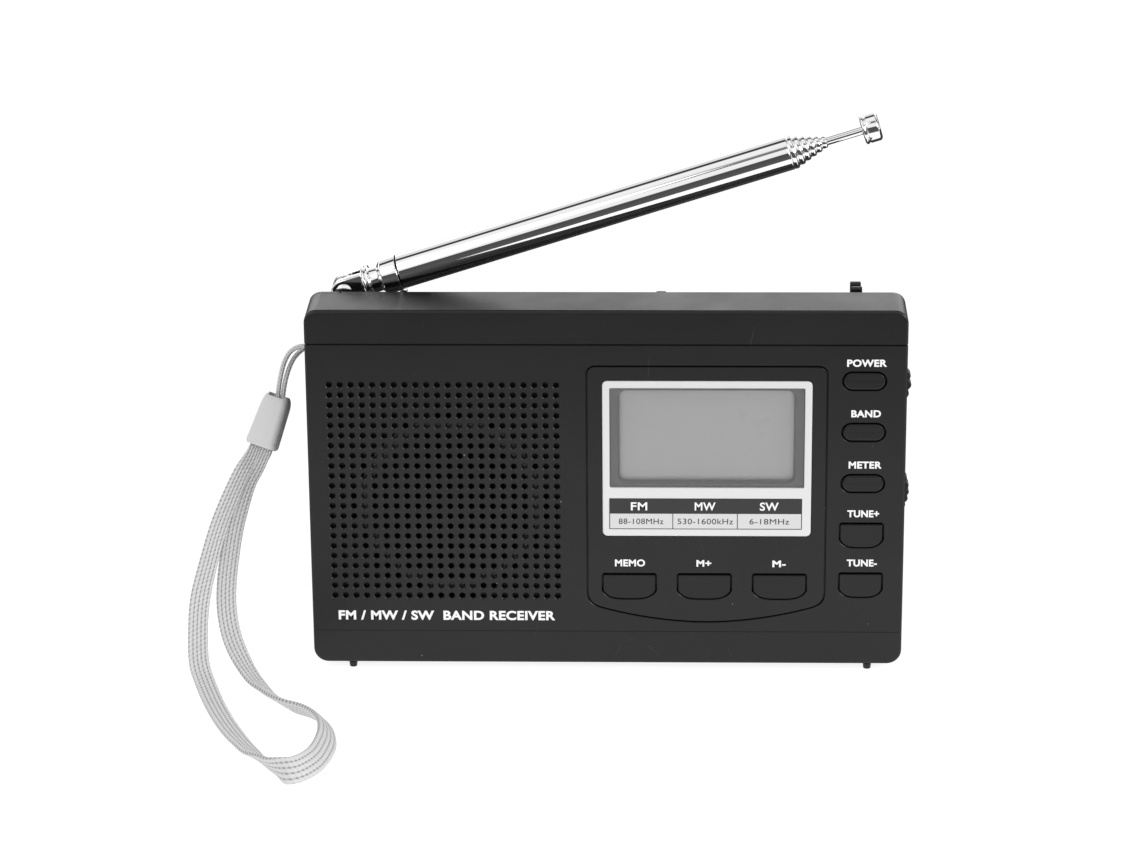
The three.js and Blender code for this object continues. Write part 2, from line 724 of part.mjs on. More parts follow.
// ---- wrist strap --------------------------------------------------------------------------------------
// The cord leaves the eyelet in the left side and hangs; the webbing goes down to the floor in front.
const cordRoute = [
  [-60.4, 5, 64],
  [-62.4, 4.7, 63.4],
  [-64.2, 4.3, 62.2],
  [-65.3, 3.3, 60.2],
  [-66.1, 2, 57.6],
  [-66.6, 1, 55.1],
];
piece("strap_cord", alongPoints(cordRoute, cordRadius, 8), webbing());

const sliderTop = new THREE.Vector3(-66.7, 0.8, 54.7);
const sliderFoot = new THREE.Vector3(-70.3, -3, 45);
const slider = { topWide: 4.6, footWide: 6.4, thick: 4.4 };

function sliderShape() {
  const length = sliderTop.distanceTo(sliderFoot);
  const half = length / 2;
  const outline = new THREE.Shape();
  outline.moveTo(-slider.footWide / 2, -half);
  outline.lineTo(slider.footWide / 2, -half);
  outline.lineTo(slider.topWide / 2 + 0.4, half - 1.6);
  outline.lineTo(slider.topWide / 2 - 0.8, half);
  outline.lineTo(-slider.topWide / 2 + 0.8, half);
  outline.lineTo(-slider.topWide / 2 - 0.4, half - 1.6);
  const geometry = new THREE.ExtrudeGeometry(outline, { depth: slider.thick, bevelEnabled: false });
  geometry.translate(0, 0, -slider.thick / 2);
  return solid(geometry);
}

const up = sliderTop.clone().sub(sliderFoot).normalize();
const sideways = new THREE.Vector3(1, -0.25, 0);
sideways.addScaledVector(up, -sideways.dot(up)).normalize();
const outward = new THREE.Vector3().crossVectors(sideways, up);
const sliderMesh = piece("strap_slider", sliderShape(), greyPlastic());
sliderMesh.position.copy(sliderTop).add(sliderFoot).multiplyScalar(0.5);
sliderMesh.quaternion.setFromRotationMatrix(new THREE.Matrix4().makeBasis(sideways, up, outward));

const strapRoute = [
  [-71.5, -3.6, 44.2],
  [-72.7, -4.5, 42.3],
  [-74.9, -6.3, 39],
  [-78.7, -9, 30.3],
  [-81.4, -12, 21.4],
  [-82.7, -15, 15.4],
  [-82.9, -18.2, 9.6],
  [-82.4, -21.8, 5],
  [-80.6, -26.6, 2.4],
  [-77.4, -36.2, 1.5],
  [-73.5, -46.6, 1.5],
  [-68.9, -56.4, 1.6],
  [-64.2, -64.4, 2.1],
  [-59.5, -68.6, 2.5],
  [-55.5, -64, 2.6],
  [-53.9, -56.1, 2.6],
  [-54.2, -49.3, 2.5],
  [-55.8, -43.6, 2.4],
  [-59, -39.1, 2.2],
  [-63.2, -35.5, 1.9],
  [-67.4, -29.6, 1.6],
  [-71.2, -23.5, 2.2],
  [-74.3, -18.2, 4.4],
  [-76.5, -14.2, 7.6],
  [-77.6, -11.6, 11.6],
  [-77.8, -9.9, 16.2],
  [-77.2, -8.3, 22.1],
  [-75.9, -6.8, 29.4],
  [-73.6, -5.2, 36.7],
  [-71.2, -4.2, 40.7],
  [-69.3, -3.5, 44],
];
piece("wrist_strap", alongPoints(strapRoute, strapRadius, 44), webbing());

export default group;
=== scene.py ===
import json
import math
from functools import partial

import bmesh
import bpy
from mathutils import Matrix, Vector


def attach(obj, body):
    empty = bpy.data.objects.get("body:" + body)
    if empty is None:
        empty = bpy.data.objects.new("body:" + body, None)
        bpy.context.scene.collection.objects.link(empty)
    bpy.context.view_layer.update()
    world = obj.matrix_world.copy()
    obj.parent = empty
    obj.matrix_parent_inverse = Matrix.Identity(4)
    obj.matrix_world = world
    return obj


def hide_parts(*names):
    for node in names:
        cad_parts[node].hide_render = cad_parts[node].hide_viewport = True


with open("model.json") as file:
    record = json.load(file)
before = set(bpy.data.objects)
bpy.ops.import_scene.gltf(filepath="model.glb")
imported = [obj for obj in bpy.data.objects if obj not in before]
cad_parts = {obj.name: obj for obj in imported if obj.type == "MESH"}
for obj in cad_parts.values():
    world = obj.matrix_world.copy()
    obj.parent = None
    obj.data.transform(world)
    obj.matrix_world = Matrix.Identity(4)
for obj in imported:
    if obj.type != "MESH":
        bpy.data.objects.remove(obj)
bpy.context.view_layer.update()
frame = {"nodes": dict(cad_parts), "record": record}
record = frame["record"]
bodyOf = {node: body for body, nodes in record["behaviour"]["bodies"].items() for node in nodes}
mm = 0.001  # every list of sizes below is in millimetres
print("frame loaded:", len(frame["nodes"]), "nodes")

# ---- small helpers for shader nodes


def plug(tree, socket, value):  # the value is a number, a colour or the output of another node
    if isinstance(value, bpy.types.NodeSocket):
        tree.links.new(value, socket)
    else:
        socket.default_value = value


def newNode(tree, kind, values=None, **settings):
    node = tree.nodes.new(kind)
    for name, value in settings.items():
        setattr(node, name, value)
    for socket, value in (values or {}).items():
        plug(tree, node.inputs[socket], value)
    return node


def calc(tree, operation, *values):
    return newNode(tree, "ShaderNodeMath", dict(enumerate(values)), operation=operation).outputs[0]


def noise(tree, vector, scale, detail=3.0, roughness=0.5, distortion=0.0):
    values = {
        "Detail": detail, "Roughness": roughness, "Distortion": distortion, "Vector": vector,
        "Scale": scale,
    }
    return newNode(tree, "ShaderNodeTexNoise", values).outputs["Fac"]


def stretched(tree, vector, scale):
    return newNode(tree, "ShaderNodeVectorMath", {0: vector, 1: scale}, operation="MULTIPLY").outputs[0]


def ranged(tree, value, low, high, to0=0.0, to1=1.0):
    values = {"Value": value, "From Min": low, "From Max": high, "To Min": to0, "To Max": to1}
    return newNode(tree, "ShaderNodeMapRange", values).outputs[0]


def blended(tree, share, first, second):
    return newNode(tree, "ShaderNodeMix", {0: share, 6: first, 7: second}, data_type="RGBA").outputs[2]


def asColour(value):
    return (*value, 1) if isinstance(value, tuple) else (value, value, value, 1)


# ---- camera and studio

studio = {
    "cameraPlace": (0.01563, -0.73959, 0.31364),
    "cameraTurn": (70.256, 0.446, 1.637),
    "lens": 122.0,
    "skyStrength": 0.92,
    "backdrop": 1.05,
    "lights": [  # (name, watts, size, place)
        ("key_light", 2.4, 0.7, (-0.75, -0.75, 0.95)),
        ("side_light", 3.2, 0.35, (0.8, -0.28, 0.5)),
    ],
    "aim": (0, 0, 0.04),
    "floorEdges": (3.0, -0.2, 0.014),  # half its width, then its front and back edges
    "floorGlow": 0.88,
    "floorColour": 0.3,
}

# What polished metal sees, by angle up from the front horizon and over to the back one.
mirrorSky = [
    (-180, 0.05), (-91, 0.05), (-80, 0.8), (-28, 0.9), (-24, 0.1), (14, 0.07), (17, 0.95), (42, 1.0),
    (45, 0.2), (57, 0.2), (61, 0.7), (66, 0.95), (98, 1.0), (102, 0.05), (119, 0.05), (123, 0.84),
    (152, 0.86), (158, 1.7), (179, 1.7),
]


def linked(name, data):
    made = bpy.data.objects.new(name, data)
    bpy.context.scene.collection.objects.link(made)
    return made


def makeCamera():
    data = bpy.data.cameras.new("camera")
    data.lens = studio["lens"]
    data.sensor_width = 36
    data.clip_start = 0.01
    camera = linked("camera", data)
    camera.location = studio["cameraPlace"]
    camera.rotation_euler = [math.radians(a) for a in studio["cameraTurn"]]
    bpy.context.scene.camera = camera


def makeWorld():
    world = bpy.data.worlds.new("studio")
    bpy.context.scene.world = world
    world.use_nodes = True
    tree = world.node_tree
    tree.nodes.clear()
    coord = newNode(tree, "ShaderNodeTexCoord")
    split = newNode(tree, "ShaderNodeSeparateXYZ", {0: coord.outputs["Generated"]})
    forward = calc(tree, "MULTIPLY", split.outputs["Y"], -1)
    angle = calc(tree, "ARCTAN2", split.outputs["Z"], forward)
    ramp = newNode(tree, "ShaderNodeValToRGB", {0: ranged(tree, angle, -math.pi, math.pi)})
    stops = ramp.color_ramp.elements
    for index, (degrees, light) in enumerate(mirrorSky):
        position = (degrees + 180) / 360
        stop = stops[index] if index < 2 else stops.new(position)
        stop.position = position
        stop.color = asColour(light)
    rays = newNode(tree, "ShaderNodeLightPath").outputs
    soft = blended(tree, rays["Is Glossy Ray"], asColour(studio["skyStrength"]), ramp.outputs[0])
    seen = blended(tree, rays["Is Camera Ray"], soft, asColour(studio["backdrop"]))
    background = newNode(tree, "ShaderNodeBackground", {0: seen})
    newNode(tree, "ShaderNodeOutputWorld", {0: background.outputs[0]})


def makeFloor():  # a strip whose far edges vanish in the white surroundings
    side, front, back = studio["floorEdges"]
    mesh = bpy.data.meshes.new("floor")
    mesh.from_pydata(
        [(-side, front, 0), (side, front, 0), (side, back, 0), (-side, back, 0)], [], [(0, 1, 2, 3)],
    )
    floor = linked("floor", mesh)
    material = bpy.data.materials.new("studio_floor")
    material.use_nodes = True
    shader = material.node_tree.nodes["Principled BSDF"]
    shader.inputs["Base Color"].default_value = asColour(studio["floorColour"])
    shader.inputs["Roughness"].default_value = 0.9
    shader.inputs["Specular IOR Level"].default_value = 0.1
    shader.inputs["Emission Color"].default_value = (1, 1, 1, 1)
    shader.inputs["Emission Strength"].default_value = studio["floorGlow"]
    mesh.materials.append(material)


def makeLights():
    for name, watts, size, place in studio["lights"]:
        data = bpy.data.lights.new(name, "AREA")
        data.energy = watts
        data.size = size
        light = linked(name, data)
        light.location = place
        light.rotation_euler = (Vector(studio["aim"]) - light.location).to_track_quat("-Z", "Y").to_euler()


makeCamera()
makeWorld()
makeFloor()
makeLights()
bpy.context.scene.view_settings.view_transform = "Standard"
print("studio ready")

# ---- outlines in x and z


def arc(x, z, radius, start, end, steps):
    turns = [math.radians(start + (end - start) * i / steps) for i in range(steps + 1)]
    return [(x + radius * math.cos(t), z + radius * math.sin(t)) for t in turns]


def roundRect(x0, x1, z0, z1, lower, upper=None, steps=7):
    upper = lower if upper is None else upper
    return (
        arc(x0 + lower, z0 + lower, lower, 180, 270, steps)
        + arc(x1 - lower, z0 + lower, lower, 270, 360, steps)
        + arc(x1 - upper, z1 - upper, upper, 0, 90, steps)
        + arc(x0 + upper, z1 - upper, upper, 90, 180, steps)
    )


def bezier(a, b, c, d, steps=8):
    made = []
    for i in range(steps):
        t = i / steps
        k = ((1 - t) ** 3, 3 * t * (1 - t) ** 2, 3 * t * t * (1 - t), t ** 3)
        made.append(tuple(sum(w * p[n] for w, p in zip(k, (a, b, c, d))) for n in range(2)))
    return made


def bowed(x, z, wide, tall, sag, corner=0.35):
    half, upper, side, low = wide / 2, z + tall / 2, z - tall / 2 + sag, z - tall / 2
    points = [(x - half, side)]
    points += bezier((x - half, side), (x - half * 0.8, low), (x - half * 0.5, low), (x, low), 7)[1:]
    points += bezier((x, low), (x + half * 0.5, low), (x + half * 0.8, low), (x + half, side), 7)
    points.append((x + half, side))
    points += arc(x + half - corner, upper - corner, corner, 0, 90, 4)
    points += arc(x - half + corner, upper - corner, corner, 90, 180, 4)
    return points


def circle(x, z, radius, steps=24):
    return arc(x, z, radius, 0, 360, steps)[:-1]


def grown(outline, by):
    made = []
    count = len(outline)
    for i in range(count):
        before, here, after = (Vector(outline[(i + k) % count]) for k in (-1, 0, 1))
        a, b = (here - before), (after - here)
        if a.length < 1e-6 or b.length < 1e-6:
            a = b = after - before
        na = Vector((a.y, -a.x)).normalized()
        nb = Vector((b.y, -b.x)).normalized()
        middle = (na + nb).normalized()
        made.append(tuple(here + middle * by / max(0.5, middle.dot(na))))
    return made


# ---- solids


def piece(name, points, faces):
    mesh = bpy.data.meshes.new(name)
    mesh.from_pydata([[c * mm for c in p] for p in points], [], faces)
    body = bmesh.new()
    body.from_mesh(mesh)
    bmesh.ops.remove_doubles(body, verts=body.verts, dist=1e-7)
    bmesh.ops.recalc_face_normals(body, faces=body.faces)
    body.to_mesh(mesh)
    body.free()
    return linked(name, mesh)


def skin(name, rings, looped=False):
    count = len(rings[0])
    points = [p for ring in rings for p in ring]
    faces = []
    for r in range(len(rings) - (0 if looped else 1)):
        low, high = r * count, ((r + 1) % len(rings)) * count
        for i in range(count):
            j = (i + 1) % count
            faces.append((low + i, low + j, high + j, high + i))
    if not looped:
        faces.append(tuple(range(count)))
        faces.append(tuple(range(len(points) - count, len(points))))
    return piece(name, points, faces)


def pressed(
    name, outline, y0, y1, round0=0.0, round1=0.0, steps=4,
):  # an outline in x and z, solid from y0 to y1
    def edge(i, y, rounding):
        turn = math.pi / 2 * i / steps
        ring = grown(outline, -abs(rounding) * (1 - math.sin(turn)))
        return [(x, y + rounding * (1 - math.cos(turn)), z) for x, z in ring]

    rings = [edge(i, y0, round0) for i in range(steps if round0 else 0)]
    rings.append([(x, y0 + round0, z) for x, z in outline])
    rings.append([(x, y1 - round1, z) for x, z in outline])
    rings += [edge(steps - 1 - i, y1, -round1) for i in range(steps if round1 else 0)]
    return skin(name, rings)


def flared(name, outline, surface, end, flare):  # a cutter that opens a little at the surface
    outside = surface - flare if end > surface else surface + flare
    inside = surface + flare if end > surface else surface - flare
    rings = [(2 * flare, outside), (0, inside), (0, end)]
    return skin(name, [[(x, y, z) for x, z in grown(outline, by)] for by, y in rings])


def brick(name, x0, x1, y0, y1, z0, z1):
    return pressed(name, [(x0, z0), (x1, z0), (x1, z1), (x0, z1)], y0, y1)


def spun(name, profile, steps=48, looped=False):  # profile is (along, radius); the axis is +X
    points, rings, faces = [], [], []
    for along, radius in profile:
        if radius < 1e-6:
            rings.append([len(points)])
            points.append((along, 0, 0))
            continue
        rings.append([len(points) + i for i in range(steps)])
        turns = [2 * math.pi * i / steps for i in range(steps)]
        points += [(along, radius * math.cos(t), radius * math.sin(t)) for t in turns]
    pairs = list(zip(rings, rings[1:])) + ([(rings[-1], rings[0])] if looped else [])
    for a, b in pairs:
        for i in range(steps):
            j = (i + 1) % steps
            corners = [a[i % len(a)], a[j % len(a)], b[j % len(b)], b[i % len(b)]]
            corners = list(dict.fromkeys(corners))
            if len(corners) > 2:
                faces.append(corners)
    return piece(name, points, faces)


def placed(made, matrix):
    made.data.transform(matrix)
    made.data.update()
    return made


def along(axis, x, y, z):  # turns a piece made along +X to lie along another axis, and moves it
    turn = {
        "x": Matrix(), "y": Matrix.Rotation(math.pi / 2, 4, "Z"),
        "z": Matrix.Rotation(-math.pi / 2, 4, "Y"),
    }
    return Matrix.Translation(Vector((x, y, z)) * mm) @ turn[axis]


def rod(name, axis, a, b, u, v, radius, steps=24):
    place = {"x": (0, u, v), "y": (u, 0, v), "z": (u, v, 0)}[axis]
    return placed(spun(name, [(a, 0), (a, radius), (b, radius), (b, 0)], steps), along(axis, *place))


def gathered(name, pieces):
    body = bmesh.new()
    for part in pieces:
        body.from_mesh(part.data)
        drop(part)
    mesh = bpy.data.meshes.new(name)
    body.to_mesh(mesh)
    body.free()
    return linked(name, mesh)


def drop(made):
    mesh = made.data
    bpy.data.objects.remove(made)
    if isinstance(mesh, bpy.types.Mesh):
        bpy.data.meshes.remove(mesh)


def evaluated(made):
    return bpy.data.meshes.new_from_object(made.evaluated_get(bpy.context.evaluated_depsgraph_get()))


def worked(base, tool, operation):
    change = base.modifiers.new(operation, "BOOLEAN")
    change.operation = operation
    change.object = tool
    change.solver = "MANIFOLD"
    mesh = evaluated(base)
    base.modifiers.clear()
    old = base.data
    base.data = mesh
    mesh.name = base.name
    bpy.data.meshes.remove(old)
    drop(tool)
    return base


def cut(base, *tools):
    for tool in tools:
        worked(base, tool, "DIFFERENCE")
    return base


def join(base, *tools):
    for tool in tools:
        worked(base, tool, "UNION")
    return base


def shade(made, sharpest=33):  # flat faces stay flat, and curves are smooth up to their sharp edges
    mesh = made.data
    mesh.polygons.foreach_set("use_smooth", [True] * len(mesh.polygons))
    mesh.set_sharp_from_angle(angle=math.radians(sharpest))
    for face in mesh.polygons:
        if max(abs(c) for c in face.normal) > 0.99995:
            face.use_smooth = False
    mesh.update()


def dressed(made, look):
    made.data.materials.clear()
    made.data.materials.append(finish[look])


def fitted(made, look, node=None, body=None, sharpest=33):
    dressed(made, look)
    shade(made, sharpest)
    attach(made, body or bodyOf[node])
    if node:
        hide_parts(node)
    return made


# ---- shared surface effects


def newGroup(name, inputs, outputs=("Mask", "Height")):
    group = bpy.data.node_groups.new(name, "ShaderNodeTree")
    group.interface.new_socket("Vector", in_out="INPUT", socket_type="NodeSocketVector")
    for label, value in inputs.items():
        socket = group.interface.new_socket(label, in_out="INPUT", socket_type="NodeSocketFloat")
        socket.default_value = value
    for label in outputs:
        group.interface.new_socket(label, in_out="OUTPUT", socket_type="NodeSocketFloat")
    given = newNode(group, "NodeGroupInput").outputs
    newNode(group, "NodeGroupOutput")
    return group, given


def closed(group, *values):  # links the group's results and hands it over
    for socket, value in zip(group.nodes["Group Output"].inputs, values):
        plug(group, socket, value)
    return group


def makeGrain():  # moulded grain: fine spark texture over slow waviness
    group, given = newGroup("moulded_grain", {"Scale": 2600.0})
    fine = noise(group, given["Vector"], given["Scale"], 4.0, 0.62)
    slow = noise(group, given["Vector"], calc(group, "MULTIPLY", given["Scale"], 0.045), 2.0)
    mask = calc(group, "ADD", calc(group, "MULTIPLY", fine, 0.8), calc(group, "MULTIPLY", slow, 0.2))
    return closed(group, mask, calc(group, "ADD", fine, calc(group, "MULTIPLY", slow, 0.6)))


def makeTurning():  # fine drawing lines along a metal tube, with faint pits
    group, given = newGroup("drawn_lines", {"Scale": 900.0})
    lines = noise(group, stretched(group, given["Vector"], (0.03, 1.0, 1.0)), given["Scale"], 3.0, 0.6)
    spots = noise(group, given["Vector"], given["Scale"], 2.0)
    height = calc(group, "ADD", calc(group, "MULTIPLY", lines, 0.7), calc(group, "MULTIPLY", spots, 0.3))
    return closed(group, lines, height)


def makeWindings():  # wire wound round the X axis; its colour is painted darker in the grooves between turns and lighter on their crowns, as painted shade and painted highlight
    group, given = newGroup("wire_windings_with_painted_shade", {"Scale": 400.0})
    values = {"Distortion": 0.4, "Detail": 1.0, "Vector": given["Vector"], "Scale": given["Scale"]}
    wave = newNode(group, "ShaderNodeTexWave", values, bands_direction="X").outputs["Fac"]
    return closed(group, wave, wave)


def makeTracks():  # copper tracks and pads under green resist
    group, given = newGroup("board_tracks", {"Scale": 260.0})
    turned = newNode(group, "ShaderNodeMapping", {"Rotation": (math.pi / 2, 0, 0), "Vector": given["Vector"]})
    bricks = newNode(group, "ShaderNodeTexBrick", {
        "Vector": turned.outputs[0], "Scale": given["Scale"], "Mortar Size": 0.06,
        "Color1": asColour(0), "Color2": asColour(0.25), "Mortar": asColour(1),
    })
    parts = newNode(group, "ShaderNodeSeparateColor", {0: bricks.outputs["Color"]})
    gaps = ranged(group, noise(group, given["Vector"], 90.0, 1.0), 0.46, 0.5)
    tracks = calc(group, "MULTIPLY", parts.outputs[0], gaps)
    return closed(group, tracks, tracks)


def makeFibres():  # pressed paper pulp
    group, given = newGroup("paper_fibres", {"Scale": 1800.0})
    strands = [
        noise(group, stretched(group, given["Vector"], scale), given["Scale"], 3.0, 0.7, 1.2)
        for scale in ((1, 0.4, 0.15), (0.15, 0.4, 1))
    ]
    both = calc(group, "MAXIMUM", *strands)
    return closed(group, both, both)


def makeBraid():  # rounded stitches in lengthwise ribs, with painted shade darkening the gaps between ribs and stitch ends; the vector counts ribs across and stitches along
    group, given = newGroup("braid_stitches_with_painted_gap_shade", {"Scale": 1.0})
    op = partial(calc, group)
    values = {0: given["Vector"], "Scale": given["Scale"]}
    counted = newNode(group, "ShaderNodeVectorMath", values, operation="SCALE").outputs[0]
    ribs, stitches, _ = newNode(group, "ShaderNodeSeparateXYZ", {0: counted}).outputs
    lean = op("SUBTRACT", op("FRACT", ribs), 0.5)
    valley = op("MULTIPLY", op("ABSOLUTE", lean), 2.0)
    brick = op("FRACT", op("MULTIPLY", op("FLOOR", ribs), 0.5))
    slant = op("ADD", op("ADD", stitches, brick), op("MULTIPLY", lean, 0.45))
    beat = op("SUBTRACT", op("FRACT", slant), 0.5)
    end = op("POWER", op("MULTIPLY", op("ABSOLUTE", beat), 2.0), 2.4)
    side = op("POWER", valley, 2.4)
    yarn = noise(group, stretched(group, counted, (7.0, 2.5, 1.0)), 3.0, 3.0, 0.7)
    crown = op("MULTIPLY", op("SUBTRACT", 1.0, side), op("SUBTRACT", 1.0, op("MULTIPLY", end, 0.6)))
    # painted shade: the Mask output darkens the colour in the valleys between ribs and at the stitch ends
    gap = op("MULTIPLY", side, op("ADD", op("MULTIPLY", end, 0.75), 0.25))
    return closed(group, ranged(group, gap, 0.08, 0.75), op("ADD", crown, op("MULTIPLY", yarn, 0.15)))


def makeMarks():  # sparse dust specks and hairline scratches
    group, given = newGroup("dust_and_scratches", {"Dust": 0.4, "Scratches": 0.3}, ("Dust", "Scratch"))
    op = partial(calc, group)
    specks = []
    for scale, size in ((210.0, 0.034), (95.0, 0.017)):
        cells = newNode(group, "ShaderNodeTexVoronoi", {"Scale": scale, "Vector": given["Vector"]}).outputs
        parts = newNode(group, "ShaderNodeSeparateColor", {0: cells["Color"]}).outputs
        chosen = op("LESS_THAN", parts[0], given["Dust"])
        near = ranged(group, cells["Distance"], size, size * 0.6)
        specks.append(op("MULTIPLY", near, op("MULTIPLY", chosen, parts[1])))
    veins = noise(group, stretched(group, given["Vector"], (1.0, 0.8, 0.35)), 38.0, 2.0, 0.5, 0.7)
    line = ranged(group, op("ABSOLUTE", op("SUBTRACT", veins, 0.52)), 0.0016, 0.0004)
    patch = ranged(group, noise(group, given["Vector"], 110.0, 2.0), 0.6, 0.68)
    scratch = op("MULTIPLY", op("MULTIPLY", line, patch), given["Scratches"])
    return closed(group, op("MAXIMUM", *specks), scratch)


patterns = {
    "grain": makeGrain(), "drawn": makeTurning(), "windings": makeWindings(),
    "tracks": makeTracks(), "fibres": makeFibres(), "braid": makeBraid(),
}
marks = makeMarks()

# ---- finishes: one entry for each material of the radio

finishes = {
    # name: colour, second colour, roughness, its spread, pattern scale, depth in mm, specular level, the rest
    "case_black": (0.006, 0.011, 0.36, 0.12, 2600, 0.012, 0.34, {"dust": 0.4, "scratches": 0.12}),
    "panel_black": (0.0065, 0.0115, 0.34, 0.1, 3200, 0.009, 0.34, {"dust": 0.4, "scratches": 0.12}),
    "key_black": (0.005, 0.009, 0.36, 0.1, 3000, 0.009, 0.34, {"dust": 0.4, "scratches": 0.1}),
    "wheel_black": (0.007, 0.012, 0.45, 0.15, 1800, 0.02, 0.4, {"dust": 0.5, "scratches": 0.3}),
    "display_silver": (
        0.66, 0.74, 0.34, 0.08, 5200, 0.004, 0.5,
        {"metal": 0.15, "dust": 0.15, "scratches": 0.3},
    ),
    "window_mask": (0.13, 0.16, 0.45, 0.1, 3600, 0.003, 0.4, {"dust": 0.3, "scratches": 0.3}),
    "lcd_grey": (0.58, 0.62, 0.3, 0.08, 900, 0.001, 0.35, {"dust": 0.12, "scratches": 0.15}),
    "reflector_white": (0.72, 0.8, 0.4, 0.1, 3000, 0.005, 0.5, {}),
    "ink_white": (0.82, 0.9, 0.5, 0.1, 6000, 0.004, 0.3, {}),
    "ink_black": (0.028, 0.04, 0.4, 0.1, 6000, 0.003, 0.3, {}),
    "ink_pale": (0.6, 0.66, 0.45, 0.1, 6000, 0.003, 0.3, {}),
    "slider_grey": (0.56, 0.62, 0.38, 0.1, 1500, 0.008, 0.45, {"dust": 0.1, "scratches": 0.1}),
    # strap and cord: the dark second colour is painted shade in the braid's gaps between stitches
    "strap_web": (0.64, 0.16, 0.82, 0.1, 1.0, 0.2, 0.2, {"pattern": "braid", "sheen": 0.3}),
    "cord_web": (0.66, 0.2, 0.82, 0.1, 1.0, 0.1, 0.2, {"pattern": "braid", "sheen": 0.3}),
    "chrome": (
        0.86, 0.92, 0.045, 0.05, 700, 0.0006, 0.5,
        {"metal": 1.0, "pattern": "drawn", "dust": 0.12, "scratches": 0.5},
    ),
    "steel_plain": (
        0.52, 0.66, 0.3, 0.15, 1500, 0.004, 0.5,
        {"metal": 1.0, "pattern": "drawn", "scratches": 0.4},
    ),
    "board_green": (
        (0.006, 0.06, 0.018), (0.03, 0.17, 0.05), 0.35, 0.1, 240, 0.03, 0.5,
        {"pattern": "tracks", "dust": 0.2},
    ),
    "chip_resin": (0.012, 0.022, 0.55, 0.1, 3800, 0.012, 0.4, {}),
    "socket_black": (0.014, 0.02, 0.35, 0.1, 2600, 0.008, 0.5, {"dust": 0.2}),
    "control_grey": (0.34, 0.42, 0.45, 0.1, 2200, 0.01, 0.45, {}),
    "ferrite_grey": (0.05, 0.085, 0.62, 0.15, 1600, 0.03, 0.35, {}),
    "paper_black": (0.012, 0.035, 0.85, 0.08, 1700, 0.05, 0.2, {"pattern": "fibres"}),
    # copper wire: the darker colour is painted shade in the grooves between turns, the lighter one painted
    # highlight on their crowns
    "copper_wire": (
        (0.28, 0.08, 0.03), (0.78, 0.35, 0.16), 0.25, 0.1, 420, 0.12, 0.5,
        {"metal": 0.9, "pattern": "windings"},
    ),
    "cell_jacket": (
        (0.02, 0.05, 0.11), (0.03, 0.07, 0.14), 0.25, 0.08, 1400, 0.004, 0.5,
        {"metal": 0.25, "scratches": 0.4, "dust": 0.1},
    ),
    "red_jacket": ((0.3, 0.012, 0.01), (0.36, 0.02, 0.016), 0.42, 0.08, 2400, 0.008, 0.45, {}),
}


def makeFinish(name, look):
    colour, second, rough, spread, scale, depth, level, extra = look
    dust, scratches = extra.get("dust", 0.0), extra.get("scratches", 0.0)
    material = bpy.data.materials.new(name)
    material.use_nodes = True
    tree = material.node_tree
    shader = tree.nodes["Principled BSDF"]
    shader.inputs["Specular IOR Level"].default_value = level
    shader.inputs["Metallic"].default_value = extra.get("metal", 0.0)
    shader.inputs["Sheen Weight"].default_value = extra.get("sheen", 0.0)
    coord = newNode(tree, "ShaderNodeTexCoord").outputs
    kind = extra.get("pattern", "grain")
    pattern = newNode(tree, "ShaderNodeGroup", node_tree=patterns[kind])
    plug(tree, pattern.inputs["Scale"], scale)
    plug(tree, pattern.inputs["Vector"], coord["UV" if kind == "braid" else "Object"])
    # pattern mask: grain, tracks, fibres and drawing lines are the thing's own tone; for the braid and the
    # windings it is painted shade in their grooves, and on the windings also painted highlight on the crowns
    shown = blended(tree, pattern.outputs["Mask"], asColour(colour), asColour(second))
    smudge = noise(tree, coord["Object"], 60.0, 3.0, 0.6)
    dull = ranged(tree, smudge, 0.3, 0.7, rough - spread / 2, rough + spread / 2)
    if dust or scratches:
        marked = newNode(tree, "ShaderNodeGroup", node_tree=marks)
        for label, value in (("Dust", dust), ("Scratches", scratches), ("Vector", coord["Object"])):
            plug(tree, marked.inputs[label], value)
        scratched = calc(tree, "MULTIPLY", marked.outputs["Scratch"], 0.35)
        worn = calc(tree, "MAXIMUM", marked.outputs["Dust"], scratched)
        shown = blended(tree, worn, shown, asColour(0.6))
        dull = calc(tree, "ADD", dull, calc(tree, "MULTIPLY", worn, 0.3))
    bump = newNode(tree, "ShaderNodeBump", {"Distance": depth * mm, "Height": pattern.outputs["Height"]})
    plug(tree, shader.inputs["Base Color"], shown)
    plug(tree, shader.inputs["Roughness"], dull)
    plug(tree, shader.inputs["Normal"], bump.outputs["Normal"])
    return material


finish = {name: makeFinish(name, look) for name, look in finishes.items()}


def makeLens():
    look = (0.6, 0.66, 0.06, 0.04, 500, 0.001, 0.5, {"dust": 0.3, "scratches": 0.6})
    material = makeFinish("clear_window", look)
    tree = material.node_tree
    # painted reflection: the lens's grey colour grows more opaque towards grazing angles, standing in for the
    # glass's reflection
    painted_reflection_share = newNode(tree, "ShaderNodeFresnel", {"IOR": 1.45}).outputs[0]
    plug(tree, tree.nodes["Principled BSDF"].inputs["Alpha"], ranged(tree, painted_reflection_share, 0.0, 1.0, 0.05, 0.9))
    return material


finish["clear_window"] = makeLens()
print("finishes ready:", len(finish))

# ---- wrist strap: thin cord, slider and braided band

